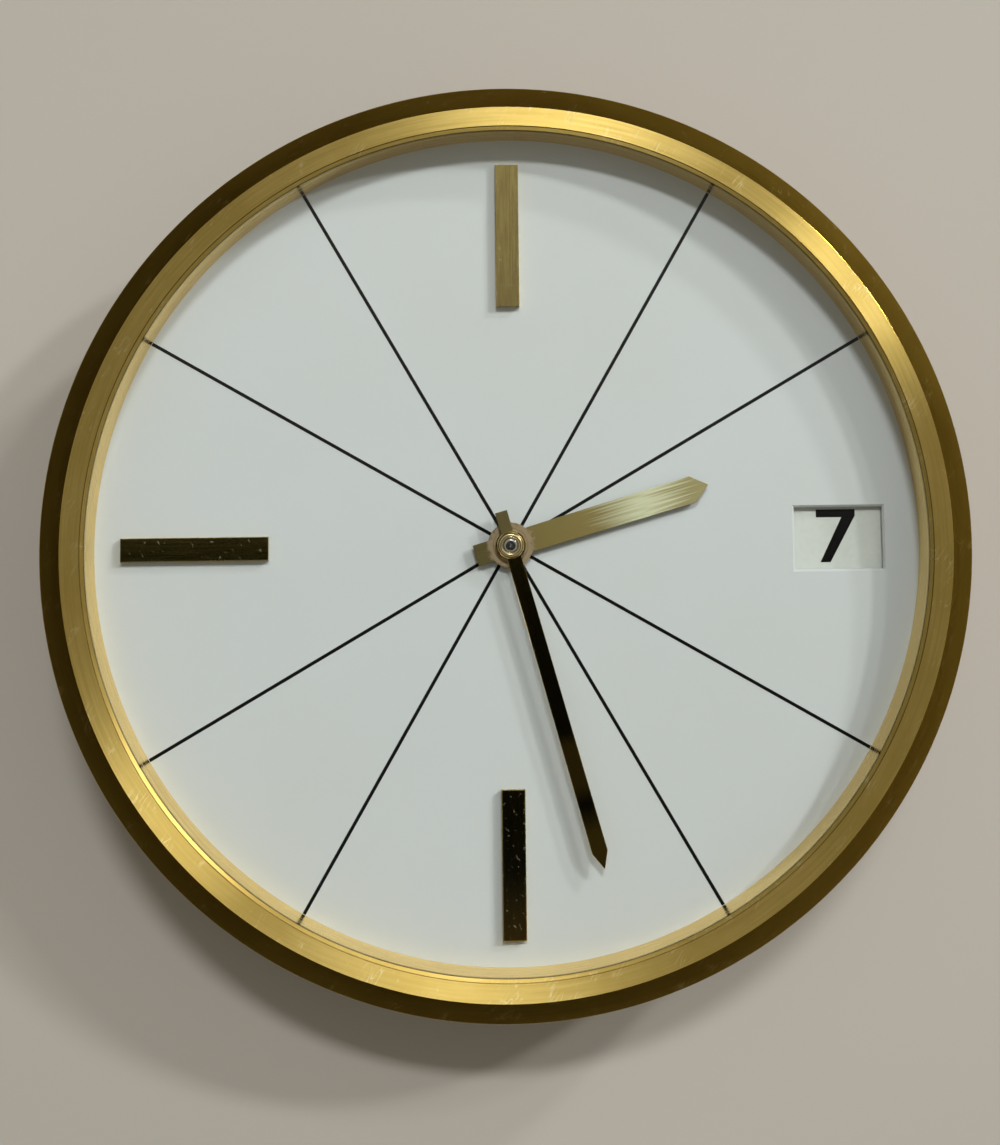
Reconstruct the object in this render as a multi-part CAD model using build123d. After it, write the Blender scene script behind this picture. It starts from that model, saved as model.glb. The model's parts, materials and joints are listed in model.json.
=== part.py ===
from build123d import *
import math
import os

# A round brass desk clock with an eight-day movement and a date, lying on its back.
# Millimetres. +Z comes out of the dial, +Y points to 12 o'clock and +X to 3 o'clock.
# The drum's back rim rests on z = 0, and the axis of the hands is x = y = 0.

# Case, seen from the front
CASE_R = 65.0
BEVEL_W = 3.4
BEVEL_H = 2.6
BAND_H = 3.2
FLAT_W = 3.25
LIP_CHAMFER = 0.5
BEZEL_WALL = 4.0
SKIRT_W = 1.2
CASE_FIT = 0.1
RING_STEP = 0.35
RING_FLARE = 0.85
GASKET_W = 0.8

# Drum behind the bezel
DRUM_STEP = 2.6
DRUM_TAPER = 3.4
DRUM_WALL = 5.4
RIM_WALL = 2.6
RIM_CHAMFER = 0.9
FLANGE_W = 3.8
FLANGE_LEDGE = 0.8
COVER_LEDGE_W = 3.4
COVER_LEDGE_H = 2.1

# Heights, stacked from the rim on the table up to the bezel's front
RECESS = 3.4
COVER_T = 1.4
REAR_GAP = 2.2
PLATE_T = 1.4
TRAIN_GAP = 5.4
HOLDER_T = 1.5
DATE_FLOAT = 0.1
DATE_T = 0.7
DATE_GAP = 0.4
DIAL_T = 0.8
HAND_SPACE = 3.5
GLASS_T = 1.9
LIP_T = 1.1

# Dial, batons and date window
DIAL_HOLE_R = 2.9
WINDOW_EDGE = 11.4
WINDOW_L = 12.6
WINDOW_W = 8.8
WINDOW_SLOPE = 0.3
WINDOW_LIFT = 0.43
BATON_EDGE = 3.7
BATON_L = 20.5
BATON_W = 3.3
BATON_H = 1.1
BATON_CHAMFER = 0.25
FOOT_R = 0.7
FOOT_ANGLES = (60, 240)

# Hands, stopped at the photographed time
HOURS = 2
MINUTES = 27.4
HAND_T = 0.45
HOUR_HAND_LIFT = 0.9
HAND_STEP = 0.55
HOUR_HAND_SHORT = 17.2
HOUR_HAND_W = 3.8
HOUR_ROOT_W = 3.5
HOUR_TIP_L = 2.3
HOUR_TAIL_L = 5.1
HOUR_TAIL_W = 3.0
HOUR_BOSS_R = 3.2
MINUTE_HAND_EDGE = 11.6
MINUTE_HAND_W = 2.2
MINUTE_ROOT_W = 2.0
MINUTE_TIP_L = 2.4
MINUTE_TAIL_L = 4.9
MINUTE_TAIL_W = 1.75
MINUTE_BOSS_R = 2.1
ARBOR_R = 1.2
ARBOR_DOME = 0.6
PIPE_WALL = 0.42
HOUR_PIPE_WALL = 0.7
PIPE_SHOW = 0.15

# Clearances
RUN_FIT = 0.03
PIPE_FIT = 0.05
BORE_FIT = 0.05
FACE_GAP = 0.1
WHEEL_GAP = 0.3
BARREL_GAP = 0.2
ROLLER_GAP = 0.2
ESCAPE_LIFT = 1.0

# Teeth, as shares of the module and of the pitch
ADDENDUM = 0.9
DEDENDUM = 1.25
TOOTH_ROOT = 0.52
TOOTH_TIP = 0.2
WHEEL_T = 0.5
PINION_OVERLAP = 0.15
SPOKES = 5
SPOKE_W = 1.3
RIM_W = 1.2
HUB_R = 2.6

# Going train: wheel and pinion teeth, module
BARREL_TEETH = 60
INTER_PINION_TEETH = 10
BARREL_MODULE = 0.48
INTER_TEETH = 50
CENTRE_PINION_TEETH = 10
INTER_MODULE = 0.43
CENTRE_TEETH = 48
THIRD_PINION_TEETH = 6
CENTRE_MODULE = 0.44
THIRD_TEETH = 45
FOURTH_PINION_TEETH = 6
THIRD_MODULE = 0.42
FOURTH_TEETH = 60
ESCAPE_PINION_TEETH = 6
FOURTH_MODULE = 0.30
ESCAPE_TEETH = 15
ESCAPE_R = 5.0
ESCAPE_TOOTH = 1.3
PALLET_SPAN = 60
PALLET_GAP = 0.35
LEVER_L = 10.0
LEVER_BOSS_R = 0.6
LEVER_W = 0.9
STONE_L = 1.6
STONE_GRIP = 0.5
FORK_R = 1.5
FORK_SLOT_W = 1.0
# Corners of an escape tooth, as shares of the pitch and of the tooth's depth
ESCAPE_SHAPE = ((0.0, 1.0), (0.3, 0.0), (0.42, 0.0), (0.45, 1.0))

# Motion work, setting and date
MOTION_MODULE = 0.6
CANNON_TEETH = 10
MINUTE_TEETH = 30
MINUTE_PINION_TEETH = 8
HOUR_TEETH = 32
SETTING_TEETH = 10
DAY_MODULE = 0.66
HOUR_DAY_TEETH = 16
DAY_TEETH = 32
FINGER_L = 12.6
FINGER_W = 1.6
DATES = 31
DAY_WHEEL_T = 0.35
DATE_FIT = 0.15
DATE_TIP_R = 27.0
DATE_TOOTH = 2.6
DATE_FLANK = 0.42
HOLDER_RIM_W = 2.85
HOLDER_LIP = 0.9

# Movement plates and pillars
PLATE_R = 39.5
PILLAR_R = 2.0
PILLAR_EDGE = 4.0
PILLAR_ANGLES = (45, 150, 225, 315)
PLATE_SCREW_ANGLES = (0, 120, 250)
TENON_R = 1.2
POST_R = 0.9
PIVOT_R = 0.5
JEWEL_R = 1.3
SCREW_HEAD_R = 1.5
SCREW_HEAD_H = 0.7
SCREW_R = 0.7
RIM_SCREW_HEAD_R = 1.0

# Arbor places
BARREL_X = -24.0
THIRD_ANGLE = 20
FOURTH_ANGLE = 80
ESCAPE_ANGLE = 150
PALLET_ANGLE = 100
BALANCE_ANGLE = 160
MINUTE_ANGLE = -40
SETTING_ANGLE = 10
DAY_ANGLE = 100

# Barrel, springs and balance
BARREL_LAND = 0.6
BARREL_WALL = 0.8
BARREL_ARBOR_R = 1.5
CORE_R = 3.0
MAINSPRING_TURNS = 6
MAINSPRING_W = 0.35
RATCHET_TEETH = 20
RATCHET_R = 7.0
RATCHET_TOOTH = 0.9
RATCHET_T = 1.3
CLICK_ANGLE = -90
CLICK_REACH = 13.0
CLICK_FOOT_TURN = -60
CLICK_OUT = 0.7
CLICK_NOSE_TURN = 1.5
CLICK_HEEL_TURN = 14
CLICK_STRIP_TURN = 9
STRIP_W = 0.5
SPRING_FOOT_R = 2.0
BALANCE_R = 8.0
BALANCE_RIM_W = 1.0
BALANCE_T = 0.8
BALANCE_ROOM = 0.9
STAFF_R = 0.5
STAFF_PIVOT_R = 0.3
ROLLER_R = 2.2
HAIRSPRING_TURNS = 5
HAIRSPRING_STEP = 0.4
HAIRSPRING_W = 0.16
COLLET_R = 1.0
COCK_T = 1.1
COCK_W = 6.0
COCK_EYE_R = 4.2
COCK_REACH = 12.4
COCK_ANGLE = 209
JUMPER_ANGLE = 215
JUMPER_FOOT_ANGLE = 250
JUMPER_FOOT_CIRCLE_R = 23.5
JUMPER_NECK = 1.5
JUMPER_NOSE_TURN = 3

# Back cover fittings
COVER_SCREW_ANGLES = (45, 135, 225, 315)
KNOB_R = 6.0
KNOB_H = 2.4
KNOB_FLUTES = 20
KNOB_FLUTE = 0.35
# Corners of a flute, as shares of the pitch and of the flute's depth
KNOB_SHAPE = ((0.0, 0.0), (0.5, 0.0), (0.6, 1.0), (0.9, 1.0))
SLEEVE_WALL = 0.9
KEY_HEAD_R = 3.4
KEY_PIN_R = 0.5
KEY_SLOT_W = 3.4
BOW_W = 12.0
BOW_REACH = 11.0
BOW_ROUND = 2.5
BOW_GAP = 0.5
BOW_KNUCKLE_R = 1.0
HINGE_Y = 24.0
STRUT_EDGE = 3.4
STRUT_T = 1.3
STRUT_TOP_W = 17.6
STRUT_FOOT_W = 30.0
STRUT_ROUND = 4.0
HINGE_PIN_R = 0.7
KNUCKLE_R = 1.4
LUG_W = 2.4
LUG_GAP = 0.2
BRACKET_L = 9.0
BRACKET_T = 1.0

# Heights worked out from the stack
Z_COVER = RECESS
Z_COVER_IN = Z_COVER + COVER_T
Z_BACK = Z_COVER_IN + REAR_GAP
Z_BACK_IN = Z_BACK + PLATE_T
Z_MAIN_IN = Z_BACK_IN + TRAIN_GAP
Z_MAIN = Z_MAIN_IN + PLATE_T
Z_HOLDER = Z_MAIN + HOLDER_T
Z_DATE = Z_HOLDER + DATE_FLOAT
Z_DATE_TOP = Z_DATE + DATE_T
Z_DIAL_BACK = Z_DATE_TOP + DATE_GAP
Z_DIAL = Z_DIAL_BACK + DIAL_T
Z_GLASS = Z_DIAL + HAND_SPACE
Z_LIP = Z_GLASS + GLASS_T
Z_FRONT = Z_LIP + LIP_T
Z_SKIRT = Z_MAIN - FLANGE_LEDGE
Z_HOUR = Z_DIAL + HOUR_HAND_LIFT
Z_HOUR_TOP = Z_HOUR + HAND_T
Z_MINUTE = Z_HOUR_TOP + HAND_STEP
Z_MINUTE_TOP = Z_MINUTE + HAND_T
Z_HINGE = RECESS / 2

# Radii worked out from the case
FLAT_R = CASE_R - BEVEL_W
SIGHT_R = FLAT_R - FLAT_W
BORE_R = CASE_R - BEZEL_WALL
SEAT_R = BORE_R - CASE_FIT
GLASS_R = BORE_R - GASKET_W
RING_IN_R = SIGHT_R - RING_STEP
HOLDER_BORE_R = SEAT_R - FLANGE_W
HOLDER_R = HOLDER_BORE_R - CASE_FIT
DRUM_TOP_R = BORE_R - DRUM_STEP
DRUM_RIM_R = DRUM_TOP_R - DRUM_TAPER
DRUM_IN_R = DRUM_TOP_R - DRUM_WALL
RIM_IN_R = DRUM_RIM_R - RIM_WALL
COVER_R = RIM_IN_R - CASE_FIT
COVER_LEDGE_R = RIM_IN_R - COVER_LEDGE_W
COVER_SCREW_CIRCLE_R = RIM_IN_R - COVER_LEDGE_W / 2
DATE_POCKET_R = HOLDER_R - HOLDER_RIM_W
DATE_R = DATE_POCKET_R - DATE_FIT
DATE_ROOT_R = DATE_TIP_R + DATE_TOOTH
HOLDER_OPEN_R = DATE_ROOT_R + HOLDER_LIP
RIM_CIRCLE_R = (DATE_POCKET_R + HOLDER_R) / 2
PILLAR_CIRCLE_R = PLATE_R - PILLAR_EDGE
WINDOW_R = RING_IN_R - WINDOW_EDGE
BATON_IN_R = RING_IN_R - BATON_EDGE - BATON_L
MINUTE_HAND_L = RING_IN_R - MINUTE_HAND_EDGE
HOUR_HAND_L = MINUTE_HAND_L - HOUR_HAND_SHORT
BARREL_R = BARREL_MODULE * (BARREL_TEETH / 2 - DEDENDUM) - BARREL_LAND
PIPE_R = ARBOR_R + RUN_FIT + PIPE_WALL
HOUR_PIPE_IN_R = PIPE_R + PIPE_FIT
HOUR_PIPE_R = HOUR_PIPE_IN_R + HOUR_PIPE_WALL


def polar(radius, degrees, at=(0.0, 0.0)):
    turn = math.radians(degrees)
    return (at[0] + radius * math.cos(turn), at[1] + radius * math.sin(turn))


def mesh_distance(module, teeth_a, teeth_b):
    return module * (teeth_a + teeth_b) / 2


def direction(start, end):
    return math.degrees(math.atan2(end[1] - start[1], end[0] - start[0]))


def mesh_phase(phase_a, teeth_a, teeth_b, way):
    """Turn of gear b that puts its gaps on the teeth of gear a, where b lies at angle way from a."""
    return way + 180 - (phase_a - way) * teeth_a / teeth_b - 180 / teeth_b


def corner(centre_a, reach_a, centre_b, reach_b):
    """The upper point at reach_a from centre_a and reach_b from centre_b."""
    apart = math.dist(centre_a, centre_b)
    along = (apart**2 + reach_a**2 - reach_b**2) / (2 * apart)
    turn = math.degrees(math.acos(along / reach_a))
    return polar(reach_a, direction(centre_a, centre_b) + turn, centre_a)


# Arbor places worked out from the gears
CENTRE = (0.0, 0.0)
BARREL = (BARREL_X, 0.0)
INTER = corner(
    BARREL, mesh_distance(BARREL_MODULE, BARREL_TEETH, INTER_PINION_TEETH),
    CENTRE, mesh_distance(INTER_MODULE, INTER_TEETH, CENTRE_PINION_TEETH),
)
THIRD = polar(mesh_distance(CENTRE_MODULE, CENTRE_TEETH, THIRD_PINION_TEETH), THIRD_ANGLE)
FOURTH = polar(mesh_distance(THIRD_MODULE, THIRD_TEETH, FOURTH_PINION_TEETH), FOURTH_ANGLE, THIRD)
ESCAPE = polar(mesh_distance(FOURTH_MODULE, FOURTH_TEETH, ESCAPE_PINION_TEETH), ESCAPE_ANGLE, FOURTH)
PALLET = polar(ESCAPE_R / math.cos(math.radians(PALLET_SPAN / 2)), PALLET_ANGLE, ESCAPE)
BALANCE = polar(LEVER_L, BALANCE_ANGLE, PALLET)
MINUTE = polar(mesh_distance(MOTION_MODULE, CANNON_TEETH, MINUTE_TEETH), MINUTE_ANGLE)
SETTING = polar(mesh_distance(MOTION_MODULE, MINUTE_TEETH, SETTING_TEETH), SETTING_ANGLE, MINUTE)
DAY = polar(mesh_distance(DAY_MODULE, HOUR_DAY_TEETH, DAY_TEETH), DAY_ANGLE)
COCK_FOOT = polar(COCK_REACH, COCK_ANGLE, BALANCE)
CLICK_FOOT = polar(CLICK_REACH, CLICK_ANGLE + CLICK_FOOT_TURN, BARREL)
JUMPER_FOOT = polar(JUMPER_FOOT_CIRCLE_R, JUMPER_FOOT_ANGLE)

# Levels of the motion work, above the main plate
Z_MINUTE_WHEEL = Z_MAIN + FACE_GAP
Z_HOUR_WHEEL = Z_MINUTE_WHEEL + WHEEL_T + FACE_GAP
Z_DAY_WHEEL = Z_HOUR_WHEEL + WHEEL_T + FACE_GAP
FINGER_T = Z_DATE_TOP - FACE_GAP - Z_DAY_WHEEL - DAY_WHEEL_T

# Levels of the going train, between the plates
Z_CENTRE_WHEEL = Z_BACK_IN + WHEEL_GAP
Z_BARREL = Z_CENTRE_WHEEL + WHEEL_T + WHEEL_GAP
Z_INTER_WHEEL = Z_MAIN_IN - WHEEL_GAP - WHEEL_T
Z_BARREL_TOP = Z_INTER_WHEEL - BARREL_GAP
Z_THIRD_WHEEL = Z_INTER_WHEEL - WHEEL_GAP - WHEEL_T
Z_FOURTH_WHEEL = (Z_BACK_IN + Z_MAIN_IN) / 2 - WHEEL_T / 2
Z_ESCAPE_WHEEL = Z_BACK_IN + ESCAPE_LIFT
Z_ROLLER = Z_BACK_IN + ROLLER_GAP
Z_BALANCE = Z_BACK + WHEEL_GAP
Z_COCK = Z_COVER_IN + WHEEL_GAP
Z_RATCHET = Z_BACK - RATCHET_T


def disc(radius, low, high, at=(0.0, 0.0)):
    body = Cylinder(radius, high - low, align=(Align.CENTER, Align.CENTER, Align.MIN))
    return Pos(at[0], at[1], low) * body


def tube(outer, inner, low, high, at=(0.0, 0.0)):
    return disc(outer, low, high, at) - disc(inner, low, high, at)


def polygon(points):
    return make_face(Polyline(*points, close=True))


def turned(points):
    """A solid of revolution about Z from (radius, height) points."""
    return revolve(make_face(Plane.XZ * Polyline(*points, close=True)), Axis.Z)


def slab(face, low, high):
    return extrude(Pos(0, 0, low) * face, amount=high - low, dir=(0, 0, 1))


def bar(start, end, width):
    """A flat strip between two points."""
    way = direction(start, end)
    side = width / 2
    return polygon([
        polar(side, way + 90, start), polar(side, way - 90, start),
        polar(side, way - 90, end), polar(side, way + 90, end),
    ])


def screw(at, face, length, head_r=SCREW_HEAD_R, sign=1):
    """A screw whose head lies on the face and whose shank goes along +Z, or along -Z if sign is -1."""
    low, high = sorted((face, face - sign * SCREW_HEAD_H))
    head = disc(head_r, low, high, at)
    low, high = sorted((face, face + sign * length))
    return head + disc(SCREW_R, low, high, at)


def holes(shape, places, radius, low, high):
    """The shape with a round hole at each place."""
    for place in places:
        shape = shape - disc(radius, low, high, place)
    return shape


def ring_of(radius, angles):
    return [polar(radius, angle) for angle in angles]


def gear_face(teeth, module, phase=0.0, at=(0.0, 0.0)):
    """A spur gear outline with straight flanks, with one tooth centred on the phase angle."""
    pitch = 360 / teeth
    pitch_r = module * teeth / 2
    tip_r = pitch_r + ADDENDUM * module
    root_r = pitch_r - DEDENDUM * module
    points = []
    for tooth in range(teeth):
        middle = phase + tooth * pitch
        points.append(polar(root_r, middle - TOOTH_ROOT / 2 * pitch, at))
        points.append(polar(tip_r, middle - TOOTH_TIP / 2 * pitch, at))
        points.append(polar(tip_r, middle + TOOTH_TIP / 2 * pitch, at))
        points.append(polar(root_r, middle + TOOTH_ROOT / 2 * pitch, at))
    return polygon(points)


def crossed_wheel(teeth, module, phase, at, low, thickness=WHEEL_T):
    """A wheel with its rim crossed by spokes."""
    window_r = module * (teeth / 2 - DEDENDUM) - RIM_W
    windows = Pos(*at) * (Circle(window_r) - Circle(HUB_R))
    for spoke in range(SPOKES):
        windows = windows - bar(at, polar(window_r + RIM_W, spoke * 360 / SPOKES, at), SPOKE_W)
    return slab(gear_face(teeth, module, phase, at) - windows, low, low + thickness)


def train_arbor(at, pinion_teeth, module, phase, meets_z, pivot=PIVOT_R):
    """An arbor with a pivot in each plate, whose pinion meets a wheel at meets_z."""
    root_r = module * (pinion_teeth / 2 - DEDENDUM)
    leaves = slab(
        gear_face(pinion_teeth, module, phase, at),
        meets_z - PINION_OVERLAP, meets_z + WHEEL_T + PINION_OVERLAP,
    )
    body = disc(root_r, Z_BACK_IN + FACE_GAP, Z_MAIN_IN - FACE_GAP, at)
    return leaves + body + disc(pivot, Z_BACK + FACE_GAP, Z_MAIN - FACE_GAP, at)


def spiral(start_r, step, turns, width):
    """A flat spring of half circles, whose radius grows by step at each half turn."""
    edges = []
    for side in (-width / 2, width / 2):
        for half in range(2 * turns):
            centre = (step * (half % 2), 0)
            edges.append(CenterArc(centre, start_r + half * step + side, 180 * (half % 2), 180))
    end_r = start_r + 2 * turns * step
    edges.append(Line((start_r - width / 2, 0), (start_r + width / 2, 0)))
    edges.append(Line((end_r - width / 2, 0), (end_r + width / 2, 0)))
    return make_face(edges)


def print_spring_gap(name, step, width):
    print(f"{name}: turns lie {2 * step - width:.2f} mm apart")


def hand_face(length, width, root_w, tip_l, tail_l, tail_w, boss_r, bore_r):
    """A flat hand along +X with a short point, a square tail and a round boss."""
    shoulder = length - tip_l
    blade = polygon([
        (0, -root_w / 2), (shoulder, -width / 2), (length, 0), (shoulder, width / 2), (0, root_w / 2),
    ])
    tail = bar((0, 0), (-tail_l, 0), tail_w)
    return blade + tail + Circle(boss_r) - Circle(bore_r)


nodes = {}

# Bezel, glass, gasket and the wall ring below the glass
edge_z = Z_FRONT - BEVEL_H
nodes["bezel"] = turned([
    (SIGHT_R, Z_LIP), (SIGHT_R, Z_FRONT - LIP_CHAMFER), (SIGHT_R + LIP_CHAMFER, Z_FRONT),
    (FLAT_R, Z_FRONT), (CASE_R, edge_z), (CASE_R, edge_z - BAND_H),
    (BORE_R + SKIRT_W, Z_SKIRT), (BORE_R, Z_SKIRT), (BORE_R, Z_LIP),
])
nodes["glass"] = disc(GLASS_R, Z_GLASS, Z_LIP)
nodes["glass_gasket"] = tube(BORE_R, GLASS_R, Z_GLASS, Z_LIP)
nodes["dial_ring"] = turned([
    (RING_IN_R, Z_DIAL), (SEAT_R, Z_DIAL), (SEAT_R, Z_GLASS), (RING_IN_R + RING_FLARE, Z_GLASS),
])

# Drum, with a flange for the dial, a ledge for the holder and one for the back cover
drum = turned([
    (RIM_IN_R, 0), (DRUM_RIM_R - RIM_CHAMFER, 0), (DRUM_RIM_R, RIM_CHAMFER),
    (DRUM_TOP_R, Z_SKIRT), (SEAT_R, Z_SKIRT), (SEAT_R, Z_DIAL_BACK),
    (HOLDER_BORE_R, Z_DIAL_BACK), (HOLDER_BORE_R, Z_MAIN), (DRUM_IN_R, Z_MAIN),
    (DRUM_IN_R, Z_COVER_IN + COVER_LEDGE_H), (COVER_LEDGE_R, Z_COVER_IN + COVER_LEDGE_H),
    (COVER_LEDGE_R, Z_COVER_IN), (RIM_IN_R, Z_COVER_IN),
])
cover_screw_places = ring_of(COVER_SCREW_CIRCLE_R, COVER_SCREW_ANGLES)
cover_screw_l = COVER_T + COVER_LEDGE_H - FACE_GAP
drum = holes(drum, cover_screw_places, SCREW_R, Z_COVER_IN, Z_COVER + cover_screw_l)
holder_screw_places = ring_of(RIM_CIRCLE_R, COVER_SCREW_ANGLES)
holder_head_z = Z_DATE_TOP - SCREW_HEAD_H
holder_screw_l = holder_head_z - Z_MAIN + 2 * HOLDER_T
drum = holes(drum, holder_screw_places, SCREW_R, holder_head_z - holder_screw_l, Z_MAIN)
nodes["case_drum"] = drum

# Dial with its feet and batons
window_middle = Pos(WINDOW_R, WINDOW_LIFT, Z_DIAL_BACK + DIAL_T / 2)
window = window_middle * Box(WINDOW_L, WINDOW_W, DIAL_T)
dial = tube(SEAT_R, DIAL_HOLE_R, Z_DIAL_BACK, Z_DIAL) - window
window_edges = dial.edges().filter_by(GeomType.LINE).group_by(Axis.Z)[-1]
nodes["dial"] = chamfer(window_edges, WINDOW_SLOPE)
foot_places = ring_of(RIM_CIRCLE_R, FOOT_ANGLES)
nodes["dial_feet"] = Compound([disc(FOOT_R, Z_MAIN, Z_DIAL_BACK, place) for place in foot_places])


def baton(clock_hour):
    low = (Align.CENTER, Align.CENTER, Align.MIN)
    block = Box(BATON_L, BATON_W, BATON_H, align=low)
    block = chamfer(block.edges().group_by(Axis.Z)[-1], BATON_CHAMFER)
    return Rot(0, 0, 90 - 30 * clock_hour) * Pos(BATON_IN_R + BATON_L / 2, 0, Z_DIAL) * block


nodes["baton_twelve"] = baton(12)
nodes["baton_six"] = baton(6)
nodes["baton_nine"] = baton(9)

# Hands
hour_angle = 90 - 30 * (HOURS + MINUTES / 60)
minute_angle = 90 - 6 * MINUTES
hour_face = hand_face(
    HOUR_HAND_L, HOUR_HAND_W, HOUR_ROOT_W, HOUR_TIP_L, HOUR_TAIL_L, HOUR_TAIL_W, HOUR_BOSS_R, HOUR_PIPE_R,
)
minute_face = hand_face(
    MINUTE_HAND_L, MINUTE_HAND_W, MINUTE_ROOT_W, MINUTE_TIP_L, MINUTE_TAIL_L, MINUTE_TAIL_W,
    MINUTE_BOSS_R, PIPE_R,
)
nodes["hour_hand"] = Rot(0, 0, hour_angle) * slab(hour_face, Z_HOUR, Z_HOUR_TOP)
nodes["minute_hand"] = Rot(0, 0, minute_angle) * slab(minute_face, Z_MINUTE, Z_MINUTE_TOP)

# Motion work behind the dial
cannon_phase = minute_angle
minute_phase = mesh_phase(cannon_phase, CANNON_TEETH, MINUTE_TEETH, direction(CENTRE, MINUTE))
hour_phase = mesh_phase(0, MINUTE_PINION_TEETH, HOUR_TEETH, direction(MINUTE, CENTRE))
day_phase = mesh_phase(hour_angle, HOUR_DAY_TEETH, DAY_TEETH, direction(CENTRE, DAY))
setting_phase = mesh_phase(minute_phase, MINUTE_TEETH, SETTING_TEETH, direction(MINUTE, SETTING))

cannon_gear = slab(
    gear_face(CANNON_TEETH, MOTION_MODULE, cannon_phase), Z_MINUTE_WHEEL, Z_MINUTE_WHEEL + WHEEL_T,
)
cannon_pipe = disc(PIPE_R, Z_MINUTE_WHEEL, Z_MINUTE_TOP + PIPE_SHOW)
cannon_bore = disc(ARBOR_R + RUN_FIT, Z_MINUTE_WHEEL, Z_MINUTE_TOP + PIPE_SHOW)
nodes["cannon_pinion"] = cannon_gear + cannon_pipe - cannon_bore

hour_wheel = crossed_wheel(HOUR_TEETH, MOTION_MODULE, hour_phase, CENTRE, Z_HOUR_WHEEL)
hour_day_gear = slab(
    gear_face(HOUR_DAY_TEETH, DAY_MODULE, hour_angle),
    Z_HOUR_WHEEL + WHEEL_T, Z_DAY_WHEEL + DAY_WHEEL_T - FACE_GAP,
)
hour_pipe = disc(HOUR_PIPE_R, Z_HOUR_WHEEL, Z_HOUR_TOP)
hour_bore = disc(HOUR_PIPE_IN_R, Z_HOUR_WHEEL, Z_HOUR_TOP)
nodes["hour_wheel"] = hour_wheel + hour_day_gear + hour_pipe - hour_bore

post_bore_r = POST_R + BORE_FIT
minute_wheel = crossed_wheel(MINUTE_TEETH, MOTION_MODULE, minute_phase, MINUTE, Z_MINUTE_WHEEL)
minute_pinion_top = Z_HOUR_WHEEL + WHEEL_T
minute_pinion = slab(
    gear_face(MINUTE_PINION_TEETH, MOTION_MODULE, 0, MINUTE), Z_MINUTE_WHEEL + WHEEL_T, minute_pinion_top,
)
minute_bore = disc(post_bore_r, Z_MINUTE_WHEEL, minute_pinion_top, MINUTE)
nodes["minute_wheel"] = minute_wheel + minute_pinion - minute_bore

# The date finger has turned on from midnight, when it points out at the date ring
finger_angle = DAY_ANGLE + 360 * (12 + HOURS + MINUTES / 60) / 24
finger_low = Z_DAY_WHEEL + DAY_WHEEL_T
finger = slab(bar(DAY, polar(FINGER_L, finger_angle, DAY), FINGER_W), finger_low, finger_low + FINGER_T)
day_wheel = crossed_wheel(DAY_TEETH, DAY_MODULE, day_phase, DAY, Z_DAY_WHEEL, DAY_WHEEL_T)
day_hub = disc(HUB_R, Z_MAIN + FACE_GAP, finger_low + FINGER_T, DAY)
day_bore = disc(post_bore_r, Z_MAIN + FACE_GAP, finger_low + FINGER_T, DAY)
nodes["day_wheel"] = day_wheel + finger + day_hub - day_bore
nodes["wheel_posts"] = Compound([
    disc(POST_R, Z_MAIN_IN, minute_pinion_top, MINUTE),
    disc(POST_R, Z_MAIN_IN, finger_low + FINGER_T, DAY),
])

# Date ring with inner teeth, its number at 3 o'clock, and the jumper that holds it
date_pitch = 360 / DATES
date_points = []
for tooth in range(DATES):
    gap_middle = JUMPER_ANGLE + tooth * date_pitch
    date_points.append(polar(DATE_ROOT_R, gap_middle))
    date_points.append(polar(DATE_TIP_R, gap_middle + DATE_FLANK * date_pitch))
    date_points.append(polar(DATE_TIP_R, gap_middle + (1 - DATE_FLANK) * date_pitch))
nodes["date_ring"] = slab(Circle(DATE_R) - polygon(date_points), Z_DATE, Z_DATE_TOP)
jumper_neck_r = DATE_TIP_R - JUMPER_NECK
nose = polygon([
    polar(jumper_neck_r, JUMPER_ANGLE + JUMPER_NOSE_TURN),
    polar(DATE_TIP_R + DATE_TOOTH / 2, JUMPER_ANGLE),
    polar(jumper_neck_r, JUMPER_ANGLE - JUMPER_NOSE_TURN),
])
jumper_strip = bar(JUMPER_FOOT, polar(jumper_neck_r, JUMPER_ANGLE), STRIP_W)
jumper = slab(nose + jumper_strip, Z_DATE, Z_DATE_TOP - FACE_GAP)
jumper = jumper + disc(SPRING_FOOT_R, Z_MAIN, Z_DATE_TOP - FACE_GAP, JUMPER_FOOT)
jumper_screw_l = Z_DATE_TOP - FACE_GAP - Z_MAIN_IN
jumper_face = Z_DATE_TOP - FACE_GAP
nodes["date_jumper"] = holes(jumper, [JUMPER_FOOT], SCREW_R, Z_MAIN, jumper_face)
nodes["jumper_screw"] = (
    disc(SCREW_HEAD_R, jumper_face, Z_DIAL_BACK - FACE_GAP, JUMPER_FOOT)
    + disc(SCREW_R, jumper_face - jumper_screw_l, jumper_face, JUMPER_FOOT)
)

# Movement holder: a plate that carries the movement and guides the date ring
holder = tube(HOLDER_R, HOLDER_OPEN_R, Z_MAIN, Z_HOLDER)
holder = holder + tube(HOLDER_R, DATE_POCKET_R, Z_HOLDER, Z_DATE_TOP)
holder = holes(holder, holder_screw_places, RIM_SCREW_HEAD_R, holder_head_z, Z_DATE_TOP)
holder = holes(holder, holder_screw_places, SCREW_R, Z_MAIN, holder_head_z)
holder = holes(holder, foot_places, FOOT_R, Z_MAIN, Z_DATE_TOP)
plate_screw_places = ring_of(PILLAR_CIRCLE_R, PLATE_SCREW_ANGLES)
plate_screw_l = PLATE_T + HOLDER_T - FACE_GAP
holder = holes(holder, plate_screw_places, SCREW_R, Z_MAIN, Z_MAIN_IN + plate_screw_l)
nodes["movement_holder"] = holder
nodes["holder_screws"] = Compound([
    screw(place, holder_head_z, holder_screw_l, RIM_SCREW_HEAD_R, -1) for place in holder_screw_places
])

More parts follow.
